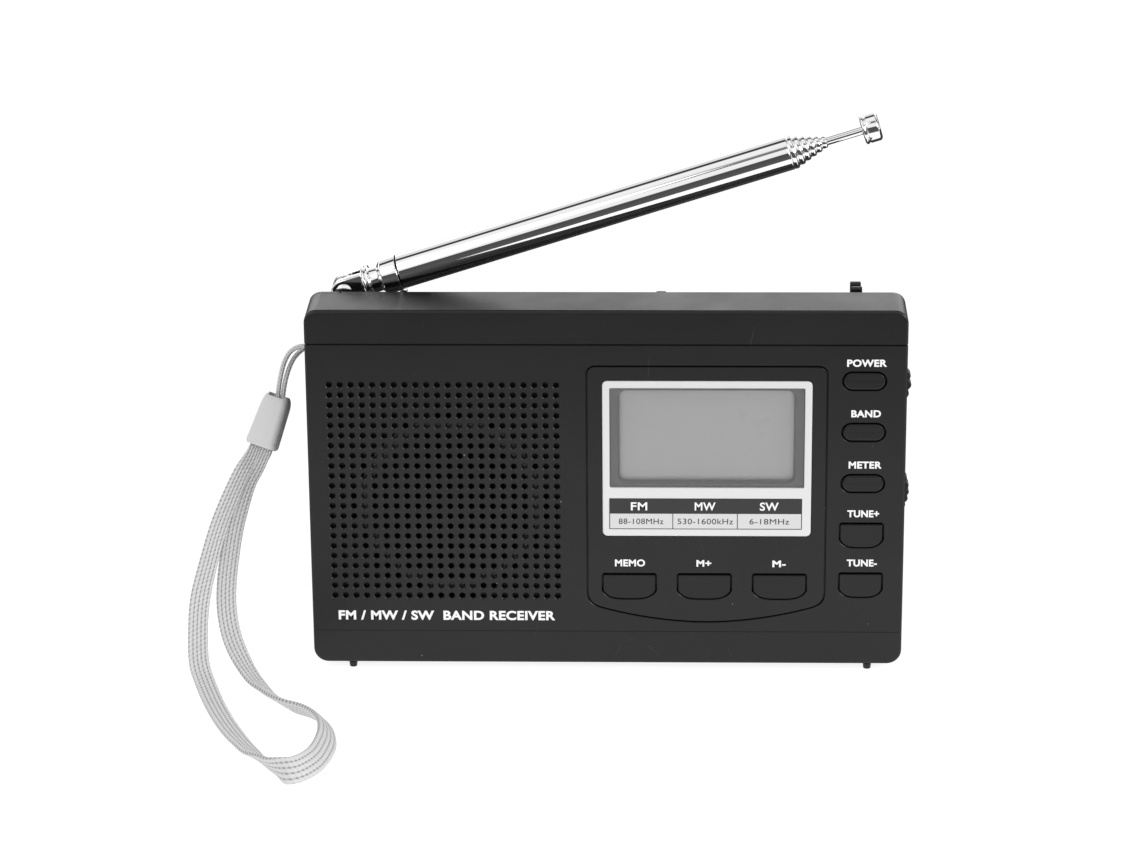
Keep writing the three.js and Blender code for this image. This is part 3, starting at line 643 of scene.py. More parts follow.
cord = {
    "radius": 0.5,
    "sides": 12,
    "stitch": 0.8,
    "route": [
        (-67.5, -0.1, 51.4), (-67.13, 0.3, 53), (-66.97, 0.9, 55.1), (-66.57, 1.9, 57.9), (-65.77, 3, 60.9),
        (-64.5, 3.7, 63), (-62.6, 3.5, 64.15), (-60.8, 3.2, 64.3), (-59.2, 3.1, 64.2), (-57.7, 3.5, 64.1),
        (-57.1, 5, 63.95), (-57.7, 6.5, 63.8), (-59.2, 6.9, 63.7), (-60.9, 6.6, 63.5), (-62.3, 5.9, 62.7),
        (-63.8, 4.9, 61.4), (-64.85, 3.6, 59.55), (-65.55, 2.2, 57.3), (-65.95, 1.2, 55),
        (-66.15, 0.5, 52.9), (-66.5, 0.1, 51.3),
    ],
}

strap = {
    "wide": 4.4,
    "thick": 1.15,
    "ribs": 5,
    "ribRise": 0.16,
    "stitch": 0.95,
    "step": 0.5,
    "route": [
        (-70.9, -2.3, 46.2), (-71.6, -3.1, 44.6), (-72.8, -4.4, 42.5), (-74.9, -6.3, 39), (-78.7, -9, 30.3),
        (-81.4, -12, 21.4), (-82.7, -15, 15.4), (-82.9, -18.2, 9.6), (-82.4, -21.8, 5), (-80.6, -26.6, 2.4),
        (-77.4, -36.2, 1.5), (-73.5, -46.6, 1.5), (-68.9, -56.4, 1.7), (-64.2, -64.4, 2.3),
        (-59.5, -68.6, 2.9), (-55.5, -64, 2.9), (-53.9, -56.1, 2.8), (-54.2, -49.3, 2.6),
        (-55.8, -43.6, 2.4), (-59, -39.1, 2.2), (-63.2, -35.5, 1.9), (-67.4, -29.6, 1.6),
        (-71.2, -23.5, 2.2), (-74.3, -18.2, 4.4), (-76.5, -14.2, 7.6), (-77.6, -11.6, 11.6),
        (-77.8, -9.9, 16.2), (-77.2, -8.3, 22.1), (-75.9, -6.8, 29.4), (-73.6, -5.2, 36.7),
        (-71.4, -4.2, 40.6), (-69.8, -3.5, 43.4), (-68.7, -2.9, 45.9),
    ],
    # which way the band's width points, by route point
    "turns": [
        (0, (0.9, -0.2, -0.2)), (3, (0.85, 0.5, 0)), (7, (0.8, 0.6, 0)), (9, (0.9, 0.42, -0.05)),
        (11, (0.9, 0.42, -0.12)), (12, (0.85, 0.45, -0.3)), (13, (0.55, 0.2, -0.8)),
        (14, (0.1, -0.35, -0.93)), (15, (0.5, -0.25, -0.8)), (16, (0.66, 0, -0.75)),
        (18, (0.6, 0.25, -0.75)), (19.5, (0.46, 0.4, -0.75)), (21, (0.6, 0.5, -0.55)),
        (22, (0.8, 0.5, -0.3)), (24, (0.85, 0.5, 0)), (29, (0.85, 0.5, 0)), (32, (0.9, -0.3, -0.2)),
    ],
    # how wide it is, by route point: gathered in the slider and spread at the far bend
    "widths": [
        (0, 2.5), (1, 2.7), (4, 4), (6, 4.4), (12, 4.3), (13, 4.7), (14, 5.5), (16, 5.3), (18, 4.6),
        (20, 4.3), (28, 4.3), (31, 2.8), (32, 2.5),
    ],
}

slider = {
    "top": (-66.7, 0.8, 54.7), "foot": (-70.35, -3.05, 44.85), "topWide": 4.5, "footWide": 6.5, "thick": 4.3,
    "round": 0.9, "slotWide": 3.1, "slotThick": 1.9, "mouthWide": 5.6, "mouthThick": 3.0, "mouthDeep": 2.4,
}


def smooth(route, perSpan=12):
    points = [Vector(p) for p in route]
    ends = [points[0] * 2 - points[1]] + points + [points[-1] * 2 - points[-2]]
    line = []
    for i in range(len(points) - 1):
        a, b, c, d = ends[i : i + 4]
        for k in range(perSpan):
            t = k / perSpan
            bend = (2 * a - 5 * b + 4 * c - d) * t * t + (3 * b - a - 3 * c + d) * t ** 3
            line.append((2 * b + (c - a) * t + bend) / 2)
    return line + [points[-1]]


def spaced(line, step):  # even points along a line, each with its place on the line as a share of the spans
    lengths = [0.0]
    for a, b in zip(line, line[1:]):
        lengths.append(lengths[-1] + (b - a).length)
    count = max(2, round(lengths[-1] / step))
    made, i = [], 0
    for k in range(count + 1):
        want = lengths[-1] * k / count
        while i < len(line) - 2 and lengths[i + 1] < want:
            i += 1
        share = (want - lengths[i]) / max(1e-9, lengths[i + 1] - lengths[i])
        made.append((line[i].lerp(line[i + 1], share), i + share, want))
    return made, lengths[-1]


def tangentAt(points, i):
    return (points[min(i + 1, len(points) - 1)] - points[max(i - 1, 0)]).normalized()


def eased(table, place):  # a value that changes smoothly between the entries of a table
    for (a, first), (b, second) in zip(table, table[1:]):
        if place <= b:
            share = (place - a) / (b - a)
            return first + (second - first) * (share * share * (3 - 2 * share))
    return table[-1][1]


def webbed(name, rings, ribs, stitches):  # a skin whose map counts ribs round the ring and stitches along it
    made = skin(name, rings)
    count = len(rings[0])
    layer = made.data.uv_layers.new(name="UVMap")
    for face in made.data.polygons:
        corners = [made.data.loops[loop].vertex_index for loop in face.loop_indices]
        wrapped = count - 1 in [c % count for c in corners]
        for loop, corner in zip(face.loop_indices, corners):
            row, place = divmod(corner, count)
            around = count if wrapped and place == 0 else place
            layer.data[loop].uv = (ribs * (around + 0.5) / count, stitches[row])
    return made


def makeCord():
    even, length = spaced(smooth(cord["route"], 10), 0.3)
    points = [p for p, _, _ in even]
    rings = []
    side = Vector((0, 1, 0))
    for i, point in enumerate(points):
        tangent = tangentAt(points, i)
        side = (side - tangent * side.dot(tangent)).normalized()
        other = tangent.cross(side)
        turns = [2 * math.pi * k / cord["sides"] for k in range(cord["sides"])]
        around = [side * math.cos(t) + other * math.sin(t) for t in turns]
        rings.append([tuple(point + way * cord["radius"]) for way in around])
    made = webbed("eyelet_cord", rings, 6, [run / cord["stitch"] for _, _, run in even])
    fitted(made, "cord_web", "strap_cord", sharpest=80)
    return made, points, length


def makeStrap():
    perSpan = 12
    even, length = spaced(smooth(strap["route"], perSpan), strap["step"])
    points = [p for p, _, _ in even]
    turns = [(place, Vector(way)) for place, way in strap["turns"]]
    perFace = 4 * strap["ribs"]
    rings = []
    for i, (point, place, _) in enumerate(even):
        tangent = tangentAt(points, i)
        width = eased(turns, place / perSpan)
        width = (width - tangent * width.dot(tangent)).normalized()
        up = tangent.cross(width)
        wide = eased(strap["widths"], place / perSpan)
        thick = strap["thick"] * (1.35 - 0.35 * min(1, wide / strap["wide"]))
        ring = []
        for k in range(2 * perFace):
            face = 1 if k < perFace else -1
            u = face * (2 * ((k % perFace) + 0.5) / perFace - 1)
            rib = abs(math.sin(math.pi * strap["ribs"] * (u + 1) / 2))
            deep = (thick / 2 - strap["ribRise"] * (1 - rib)) * (0.35 + 0.65 * (1 - abs(u) ** 6) ** 0.5)
            ring.append(tuple(point + width * (u * wide / 2) + up * (face * deep)))
        rings.append(ring)
    made = webbed("wrist_strap_band", rings, 2 * strap["ribs"], [run / strap["stitch"] for _, _, run in even])
    fitted(made, "strap_web", "wrist_strap", sharpest=80)
    return made, points, length


def makeSlider():
    top, foot = Vector(slider["top"]), Vector(slider["foot"])
    up = (top - foot).normalized()
    sideways = Vector((1, -0.25, 0))
    sideways = (sideways - up * sideways.dot(up)).normalized()
    outward = sideways.cross(up)
    length = (top - foot).length

    def section(run, wide, thick, corner, forward=0.0):
        middle = foot + up * run + outward * forward
        shape = roundRect(-wide / 2, wide / 2, -thick / 2, thick / 2, corner, steps=6)
        return [tuple(middle + sideways * a + outward * b) for a, b in shape]

    rings = []
    steps = 22
    for i in range(steps + 1):
        run = length * i / steps
        share = i / steps
        wide = slider["footWide"] + (slider["topWide"] + 0.9 - slider["footWide"]) * share
        thick = slider["thick"]
        footPull = max(0.0, 1 - run / slider["round"])
        topPull = max(0.0, 1 - (length - run) / 2.6)
        pull = 0.75 * (1 - math.sqrt(1 - footPull ** 2)) + 1.5 * (1 - math.sqrt(1 - topPull ** 2 * 0.96))
        rings.append(section(run, wide - pull, thick - pull, min(1.15, (thick - pull) / 2.4)))
    made = skin("slider_body", rings)
    wide, thick = slider["slotWide"], slider["slotThick"]
    slot = skin("slot", [
        section(length - 4.5, wide, thick, 0.3), section(length - 1.7, wide, thick, 0.3),
        section(length - 0.2, wide + 0.3, thick + 1.4, 0.4, 0.7),
        section(length + 1, wide + 0.3, thick + 2, 0.4, 1),
    ])
    mouth = skin(
        "mouth",
        [section(r, slider["mouthWide"], slider["mouthThick"], 0.5) for r in (-1, slider["mouthDeep"])],
    )
    cut(made, slot, mouth)
    return fitted(made, "slider_grey", "strap_slider", sharpest=42)


sliderBody = makeSlider()
cordBody, cordLine, cordLength = makeCord()
strapBody, strapLine, strapLength = makeStrap()
print("strap ready: cord", round(cordLength), "mm, band", round(strapLength), "mm")

# ---- case sizes shared by the shells

case = {
    "left": -60, "right": 60, "front": -12.5, "back": 12.5, "floor": 1.4, "top": 76.9, "wall": 1.8,
    "parting": -0.7,
    "stepY": 0.5, "stepZ": 71, "tabX": -53.8, "topCorner": 2.5, "bottomCorner": 3, "edge": 0.55, "gap": 0.3,
    "feet": [(-52.1, -10.9), (53.1, -10.9), (-52.1, 10), (53.1, 10)],
    "screws": [(-54.5, 8), (54.5, 8), (-44, 66.8), (44, 66.8)],
    "screwHead": 2.2, "screwSeat": 9.8, "bossRadius": 2.7, "screwHole": 0.95,
}
innerFront = case["front"] + case["wall"]
innerBack = case["back"] - case["wall"]

grille = {
    "x": -55.29, "z": 61.4, "pitchX": 2.16, "pitchZ": 2.157, "count": 22, "mouth": 0.83, "hole": 0.6,
    "sink": 0.2,
    "open": (-31.6, 35.4, 19.8), "blind": 1.5,
}
groove = {"z": 69.95, "deep": 0.3, "half": 0.2}
faintLine = {"z": 8.45, "deep": 0.07, "half": 0.1}
wheels = {
    "volume": {"z": 59.3, "radius": 7, "reach": 61.3, "beads": 20, "deep": 0.55, "node": "volume_wheel"},
    "tuning": {"z": 36.2, "radius": 8, "reach": 61.3, "beads": 32, "deep": 0.35, "node": "tuning_wheel"},
}
wheelY, wheelThick = -3, 3
jacks = {"y": -3.4, "barrel": 2.1, "z": (15.6, 23.8)}

panel = {
    "x0": -3.7, "x1": 44, "top": 65.3, "side": 17.2, "foot": 13.8, "low": 10.7, "corner": 1.5, "thick": 0.9,
    "recess": 1,
}
display = {"x0": -0.75, "x1": 41.2, "z0": 29.3, "z1": 62.4, "corner": 1, "proud": 0.15, "recess": 1.4}
window = {"x0": 0.7, "x1": 39.75, "z0": 39.7, "z1": 60.9}
glass = {"x0": 0.2, "x1": 40.2, "z0": 38.8, "z1": 61.6}

keyFoot = -9.9
pill = {"wide": 8.3, "tall": 3.5, "proud": 0.1, "round": 0.35}
tuneKey = {"wide": 8.5, "tall": 5, "sag": 1.7, "proud": -0.15, "round": 0.22, "drop": 0.14}
memoryKey = {"wide": 10.6, "tall": 5.2, "sag": 1.75, "proud": -0.15, "round": 0.22, "drop": 0.14}
keys = [
    ("power_button", 51.5, 62.4, pill), ("band_button", 51.5, 51.6, pill), ("meter_button", 51.5, 40.7, pill),
    ("tune_up_button", 51.4, 29.5, tuneKey), ("tune_down_button", 51.4, 18.7, tuneKey),
    ("memory_button", 4.6, 18.3, memoryKey), ("memory_up_button", 19.8, 18.3, memoryKey),
    ("memory_down_button", 35, 18.3, memoryKey),
]


def caseOutline(by=0.0):
    sides = [case[key] for key in ("left", "right", "floor", "top", "bottomCorner", "topCorner")]
    return grown(roundRect(*sides), by)


def keyOutline(x, z, size, by=0.0):
    if "sag" in size:
        shape = bowed(x, z, size["wide"], size["tall"], size["sag"])
    else:
        half, tall = size["wide"] / 2, size["tall"] / 2
        shape = roundRect(x - half, x + half, z - tall, z + tall, tall * 0.999)
    return grown(shape, by) if by else shape


def panelOutline(by=0.0):
    x0, x1, low, foot = panel["x0"], panel["x1"], panel["low"], panel["foot"]
    middle, corner, side = (x0 + x1) / 2, panel["corner"], panel["side"]
    shape = bezier((x0, side), (x0, side - 2), (x0 + 1, foot + 0.5), (x0 + 2.8, foot), 7)
    shape += bezier((x0 + 2.8, foot), (x0 + 9, low + 1.3), (middle - 7, low), (middle, low), 10)
    shape += bezier((middle, low), (middle + 7, low), (x1 - 9, low + 1.3), (x1 - 2.8, foot), 10)
    shape += bezier((x1 - 2.8, foot), (x1 - 1, foot + 0.5), (x1, side - 2), (x1, side), 7)
    shape.append((x1, side))
    shape += arc(x1 - corner, panel["top"] - corner, corner, 0, 90, 6)
    shape += arc(x0 + corner, panel["top"] - corner, corner, 90, 180, 6)
    return grown(shape, by) if by else shape


def displayOutline(by=0.0):
    shape = roundRect(display["x0"], display["x1"], display["z0"], display["z1"], display["corner"])
    return grown(shape, by) if by else shape


def foot(x, y):
    return placed(
        spun("foot", [(0, 0), (0, 0.75), (case["floor"] + 0.6, 1), (case["floor"] + 0.6, 0)], 20),
        along("z", x, y, 0),
    )


def grilleHoles():  # open in front of the speaker, blind outside it
    surface, sink, hole = case["front"], grille["sink"], grille["hole"]
    slope = (grille["mouth"] - hole) / sink
    mouth = [(surface - sink, 0), (surface - sink, grille["mouth"] + slope * sink), (surface + sink, hole)]
    centreX, centreZ, radius = grille["open"]
    holes = []
    for row in range(grille["count"]):
        for column in range(grille["count"]):
            x = grille["x"] + column * grille["pitchX"]
            z = grille["z"] - row * grille["pitchZ"]
            through = math.hypot(x - centreX, z - centreZ) < radius
            end = innerFront + 1 if through else surface + grille["blind"]
            holes.append(placed(spun("hole", mouth + [(end, hole), (end, 0)], 14), along("y", x, 0, z)))
    return gathered("grille_holes", holes)


def grooveCutter(name, line, endY):  # a V that runs along one side, over the front and back along the other
    edge = case["edge"]
    path = [(case["left"], endY, -1, 0)]
    for side in (-1, 1):
        for k in range(7):
            turn = math.pi / 2 * (k / 6 if side < 0 else 1 - k / 6)
            nx, ny = side * math.cos(turn), -math.sin(turn)
            path.append((side * (case["right"] - edge) + nx * edge, case["front"] + edge + ny * edge, nx, ny))
    path.append((case["right"], endY, 1, 0))
    rings = []
    for x, y, nx, ny in path:
        slope = line["half"] / line["deep"]
        rings.append([
            (x - nx * line["deep"], y - ny * line["deep"], line["z"]),
            (x + nx * 0.4, y + ny * 0.4, line["z"] - (line["deep"] + 0.4) * slope),
            (x + nx * 0.4, y + ny * 0.4, line["z"] + (line["deep"] + 0.4) * slope),
        ])
    return skin(name, rings)


def edgeGroove():  # a fine seam round the case, just behind the front edge
    y0 = case["front"] + case["edge"]
    y1, deep, reach = y0 + 0.5, 0.6, 0.3
    inner, outer = caseOutline(-deep), caseOutline(reach)
    rings = [[(a, y0, b), (c, y0, d), (c, y1, d), (a, y1, b)] for (a, b), (c, d) in zip(inner, outer)]
    return skin("edge_line", rings, True)


def wheelSlots():
    made = []
    for wheel in wheels.values():
        centre = wheel["reach"] - wheel["radius"]
        tall = math.sqrt(wheel["radius"] ** 2 - (case["right"] - case["wall"] - centre) ** 2) + 0.6
        half = wheelThick / 2 + case["gap"]
        shape = roundRect(wheelY - half, wheelY + half, wheel["z"] - tall, wheel["z"] + tall, 0.3, steps=3)
        rings = [
            [(x, y, z) for y, z in grown(shape, by)]
            for x, by in ((56, 0), (case["right"] - 0.25, 0), (61, 1.25))
        ]
        made.append(skin("slot", rings))
    return made


def atScrews(name, y0, y1, radius, steps=24):  # a rod at each case screw
    return gathered(name, [rod("one", "y", y0, y1, x, z, radius, steps) for x, z in case["screws"]])


def keyHoles(chosen, end):
    front = case["front"]
    outlines = [keyOutline(x, z, size, case["gap"]) for _, x, z, size in chosen]
    return gathered("key_holes", [flared("one", outline, front, end, 0.1) for outline in outlines])


def makeFrontShell():
    left, right, front, parting = case["left"], case["right"], case["front"], case["parting"]
    shell = pressed("front_cover", caseOutline(), front, parting, case["edge"], 0.08, steps=6)
    wall = case["wall"]
    hollow = roundRect(left + wall, right - wall, case["floor"] + wall, case["top"] - wall, 1.6)
    cut(shell, pressed("hollow", hollow, innerFront, parting + 1))
    lip = pressed("lip", caseOutline(), parting - 0.6, case["stepY"], 0, 0.2)
    lipLow, lipHigh = case["stepZ"] + 0.05, case["top"] + 1
    keep = brick("keep", case["tabX"] + 0.3, right + 1, parting - 2, case["stepY"] + 1, lipLow, lipHigh)
    worked(lip, keep, "INTERSECT")
    bosses = atScrews("bosses", innerFront - 0.5, parting - 0.1, case["bossRadius"], 32)
    join(shell, lip, bosses, gathered("feet", [foot(x, y) for x, y in case["feet"][:2]]))
    screwHoles = atScrews("screw_holes", innerFront + 1, parting + 1, case["screwHole"] - 0.1)
    cut(shell, screwHoles, keyHoles(keys[:5], innerFront + 1), grilleHoles())
    cut(shell, flared("panel_recess", panelOutline(0.3), front, front + panel["recess"], 0.1))
    cut(shell, pressed("display_recess", displayOutline(0.1), front - 1, front + display["recess"]))
    lower = [
        pressed("key", keyOutline(x, z, size, case["gap"]), front - 1, innerFront + 1)
        for _, x, z, size in keys[5:]
    ]
    across, upward = (glass["x0"], glass["x1"]), (glass["z0"], glass["z1"])
    lower.append(brick("glass", *across, front - 1, innerFront + 1, *upward))
    cut(shell, gathered("inner_holes", lower), gathered("wheel_slots", wheelSlots()))
    jackHoles = [rod("hole", "x", 56, 62, jacks["y"], z, jacks["barrel"] + 0.25, 32) for z in jacks["z"]]
    cut(shell, gathered("jack_holes", jackHoles))
    cut(shell, *[grooveCutter("groove", line, parting + 1) for line in (groove, faintLine)], edgeGroove())
    return fitted(shell, "case_black", "front_shell")


bay = {"x0": -11.2, "x1": 42.9, "z0": 4.4, "z1": 35.4, "y0": -4.7, "wall": 1, "rim": 1.4}
door = {
    "x0": -12.4, "x1": 44.1, "z0": 3.9, "z1": 36.4, "thick": 1.6, "ledge": 10.7, "corner": 1.2,
}
grip = {"count": 5, "x": 38.1, "step": 1.2, "wide": 0.55, "z": (14, 26), "corner": 0.27, "deep": 0.45}
swivelAt = (-53.2, 6)
eyelet = {"y": 5, "z": 64, "slot": 2, "bridge": 1.8, "tall": 2.6}
clip = {
    "x": 50.3, "wide": 2.2, "y": 6, "gap": 4.6, "wall": 1.2, "base": 73.6, "frontTop": 77.2,
    "rearTop": 76.4,
}
rest = {"x": 10.9, "wide": 2, "y0": 9.9, "y1": 11.5, "top": 73.7}


def turnedOutline(name, outline, x0, x1, rounding):  # an outline in y and z, made solid from x0 to x1
    made = pressed(name, outline, -x1, -x0, rounding, rounding, steps=3)
    return placed(made, Matrix.Rotation(math.pi / 2, 4, "Z"))


def makeRearShell():
    left, right, back = case["left"], case["right"], case["back"]
    parting = case["parting"] + 0.05
    lowerOutline = roundRect(left, right, case["floor"], case["stepZ"], case["bottomCorner"], 0.5)
    shell = pressed("rear_cover", lowerOutline, parting, back, 0.08, case["edge"], steps=6)
    wall = case["wall"]
    hollow = roundRect(left + wall, right - wall, case["floor"] + wall, case["stepZ"] - wall, 1.4)
    cut(shell, pressed("hollow", hollow, parting - 1, innerBack))
    tab = pressed("tab", caseOutline(), parting, case["stepY"], 0, 0.15)
    keep = brick("keep", left - 1, case["tabX"], parting - 1, case["stepY"] + 1, 69.5, case["top"] + 1)
    worked(tab, keep, "INTERSECT")
    rear, low = innerBack + 0.5, case["floor"] + 1
    join(shell, tab, atScrews("bosses", parting + 0.2, rear, case["bossRadius"], 32))
    x0, x1, z0, z1, thick, rim = bay["x0"], bay["x1"], bay["z0"], bay["z1"], bay["wall"], bay["rim"]
    join(
        shell,
        brick("bay", x0 - thick, x1 + thick, bay["y0"] - 0.7, rear, z0 - 0.9, z1 + thick),
        brick("bay_foot", x0, x1, parting + 0.1, rear, low, z0),
        brick("bay_rim", door["x0"] - rim, door["x1"] + rim, 9.4, rear, low, door["z1"] + rim),
    )
    cut(shell, brick("bay_space", x0, x1, bay["y0"], back + 1, z0, z1))
    doorHole = roundRect(door["x0"], door["x1"], door["z0"], door["z1"], door["corner"])
    cut(shell, flared("door_hole", grown(doorHole, 0.18), back, door["ledge"], 0.1))
    screwHoles = atScrews("screw_holes", parting - 1, back + 1, case["screwHole"] + 0.2)
    sinks = [
        flared("sink", circle(x, z, case["screwHead"] + 0.3, 40), back, case["screwSeat"], 0.15)
        for x, z in case["screws"]
    ]
    cut(shell, screwHoles, gathered("screw_sinks", sinks))
    cut(shell, rod("swivel_hole", "z", case["stepZ"] - 3, case["stepZ"] + 1, *swivelAt, 2.6, 40))
    slots = []
    for side in (-1, 1):
        y = eyelet["y"] + side * (eyelet["bridge"] + eyelet["slot"]) / 2
        half, tall = eyelet["slot"] / 2, eyelet["tall"] / 2
        shape = roundRect(y - half, y + half, eyelet["z"] - tall, eyelet["z"] + tall, 0.5, steps=4)
        rings = [[(x, yy, z) for yy, z in grown(shape, by)] for x, by in ((-61, 1.2), (-59.8, 0), (-56, 0))]
        slots.append(skin("slot", rings))
    cut(shell, gathered("eyelet_slots", slots))
    inner, outer, step = clip["gap"] / 2, clip["gap"] / 2 + clip["wall"], case["stepZ"]
    y, base, high, rearHigh = clip["y"], clip["base"], clip["frontTop"], clip["rearTop"]
    outline = [
        (y - outer, step - 0.5), (y + outer, step - 0.5), (y + outer, rearHigh - 0.3),
        (y + outer - 0.3, rearHigh), (y + inner + 0.3, rearHigh), (y + inner, rearHigh - 0.5),
        (y + inner, base + 0.8), (y + inner - 0.8, base), (y - inner + 0.8, base), (y - inner, base + 0.8),
        (y - inner, high - 0.7), (y - inner - 0.3, high), (y - outer + 0.35, high), (y - outer, high - 0.35),
    ]
    post = roundRect(rest["y0"], rest["y1"], step - 0.5, rest["top"], 0.1, 0.5, steps=5)
    stands = [
        turnedOutline("stand", shape, at["x"] - at["wide"] / 2, at["x"] + at["wide"] / 2, 0.2)
        for shape, at in ((outline, clip), (post, rest))
    ]
    join(shell, *stands, gathered("feet", [foot(x, y) for x, y in case["feet"][2:]]))
    return fitted(shell, "case_black", "rear_shell")


def makeDoor():
    outline = roundRect(door["x0"], door["x1"], door["z0"], door["z1"], door["corner"])
    made = pressed("battery_cover", outline, case["back"] - door["thick"], case["back"], 0, 0.3)
    grips = []
    for i in range(grip["count"]):
        x = grip["x"] + i * grip["step"]
        shape = roundRect(x, x + grip["wide"], *grip["z"], grip["corner"], steps=4)
        grips.append(flared("grip", shape, case["back"], case["back"] - grip["deep"], 0.08))
    cut(made, gathered("grips", grips))
    return fitted(made, "case_black", "battery_door")


makeFrontShell()
makeRearShell()
makeDoor()
for index, (x, z) in enumerate(case["screws"], 1):
    seat = case["screwSeat"] + 0.1
    head = [
        (seat, 0), (seat, 2.1), (seat + 0.7, 2.15), (seat + 1.15, 1.7), (seat + 1.38, 0.9), (seat + 1.4, 0),
    ]
    screw = placed(spun("screw_%d" % index, head, 40), along("y", x, 0, z))
    shank = rod("shank", "y", -7, seat + 0.3, x, z, 0.85)
    cross = [
        brick("cross", x - a, x + a, seat + 0.7, seat + 2, z - b, z + b)
        for a, b in ((1.15, 0.25), (0.25, 1.15))
    ]
    cut(join(screw, shank), *cross)
    fitted(screw, "steel_plain", "case_screw_%d" % index)
print("case ready")

# ---- control panel, keys and side wheels


def makePanel():
    front = case["front"]
    made = pressed("panel_plate", panelOutline(), front, front + panel["thick"], 0.14, 0)
    cut(made, pressed("display_hole", displayOutline(0.1), front - 1, front + 2))
    cut(made, keyHoles(keys[5:], front + 2))
    return fitted(made, "panel_black", "control_panel")


def makeKeys():
    for node, x, z, size in keys:
        front = case["front"] - size["proud"]
        low = z - size.get("drop", 0)
        name = node.replace("button", "cap")
        cap = pressed(name, keyOutline(x, low, size), front, keyFoot, size["round"], 0, steps=5)
        flange = pressed("flange", keyOutline(x, z, size, 0.9), keyFoot - 0.6, keyFoot)
        fitted(join(cap, flange), "key_black", node)


def makeWheels():
    for name, wheel in wheels.items():
        x = wheel["reach"] - wheel["radius"]
        perBead = 8
        count = wheel["beads"] * perBead
        outline = []
        for i in range(count):
            turn = 2 * math.pi * (i + perBead / 4) / count
            wave = abs(math.sin(math.pi * i / perBead))
            radius = wheel["radius"] - wheel["deep"] * (1 - wave)
            outline.append((x + radius * math.cos(turn), wheel["z"] + radius * math.sin(turn)))
        half, z = wheelThick / 2, wheel["z"]
        made = pressed(name + "_thumbwheel", outline, wheelY - half, wheelY + half, 0.3, 0.3)
        bore = rod("bore", "y", wheelY - 3, wheelY + 3, x, z, 1.3, 32)
        dish = rod("dish", "y", wheelY - 3, wheelY - half + 0.5, x, z, wheel["radius"] - 2, 48)
        fitted(cut(made, bore, dish), "wheel_black", wheel["node"])


# ---- display: silver frame, window, printed band table


lcdOpening = {  # the mask's opening: bowed at the top, wider in front; walls are (depth, growth, sag below)
    "sides": (2.7, 37.6, 40.9, 59.9), "corner": 1.3, "middle": 20.2, "reach": 18.5, "bow": 0.45,
    "walls": [(0, 0.9, 0.3), (0.56, 0.42, 0.12), (1.0, 0.1, 0), (2, -0.1, 0)],
}


def makeDisplay():
    front = case["front"]
    face = front - display["proud"]
    rear = front + display["recess"] - 0.1
    made = pressed("display_surround", displayOutline(), face, rear, 0.3, 0, steps=5)
    hole = roundRect(window["x0"], window["x1"], window["z0"], window["z1"], 0.25, steps=3)
    cut(made, flared("window", hole, face, front + 3, 0.14))
    fitted(made, "display_silver", "display_frame")

    x0, x1, z0, z1 = (window[side] for side in ("x0", "x1", "z0", "z1"))
    lensShape = roundRect(x0 + 0.1, x1 - 0.1, z0 + 0.1, z1 - 0.1, 0.2, steps=3)
    lens = pressed("window_lens", lensShape, front + 0.2, front + 0.5, 0.05, 0)
    fitted(lens, "clear_window", "display_window")
    mask = pressed("window_mask", lensShape, front + 0.55, front + 1.45)
    opening = roundRect(*lcdOpening["sides"], lcdOpening["corner"], steps=8)
    rings = []
    for deep, by, sag in lcdOpening["walls"]:
        ring = []
        for x, z in grown(opening, by):
            middle = 1 - ((x - lcdOpening["middle"]) / lcdOpening["reach"]) ** 2
            ring.append((x, front + deep, z + (lcdOpening["bow"] * middle if z > 50 else -sag)))
        rings.append(ring)
    cut(mask, skin("opening", rings))
    fitted(mask, "window_mask", body="case")
    lcd = pressed("lcd_panel", roundRect(1, 39.4, 37.5, 61.2, 0.3, steps=3), innerFront + 0.3, -8.7, 0.08, 0)
    fitted(lcd, "lcd_grey", "lcd_glass")


bandTable = {
    "x0": 0.6, "x1": 39.4, "z0": 30.85, "z1": 37.5, "split": 34.2, "walls": (13.4, 26.4), "line": 0.17,
    "proud": 0.03, "box": 0.015,
}


def makeBandTable():
    face = case["front"] - display["proud"]
    t = bandTable
    back = roundRect(t["x0"], t["x1"], t["z0"], t["z1"], 0.1, steps=2)
    table = pressed("band_table", back, face - t["proud"], face + 0.1)
    fitted(table, "ink_black", body="case")
    edges = [t["x0"], *t["walls"], t["x1"]]
    boxes = []
    for a, b in zip(edges, edges[1:]):
        x0 = a + (t["line"] if a == edges[0] else t["line"] / 2)
        x1 = b - (t["line"] if b == edges[-1] else t["line"] / 2)
        near = face - t["proud"] - t["box"]
        boxes.append(brick("box", x0, x1, near, face, t["z0"] + t["line"], t["split"]))
    fitted(gathered("band_boxes", boxes), "ink_pale", body="case")


# ---- printed lettering, all generic: (words, x, z, capital height, width, bold)

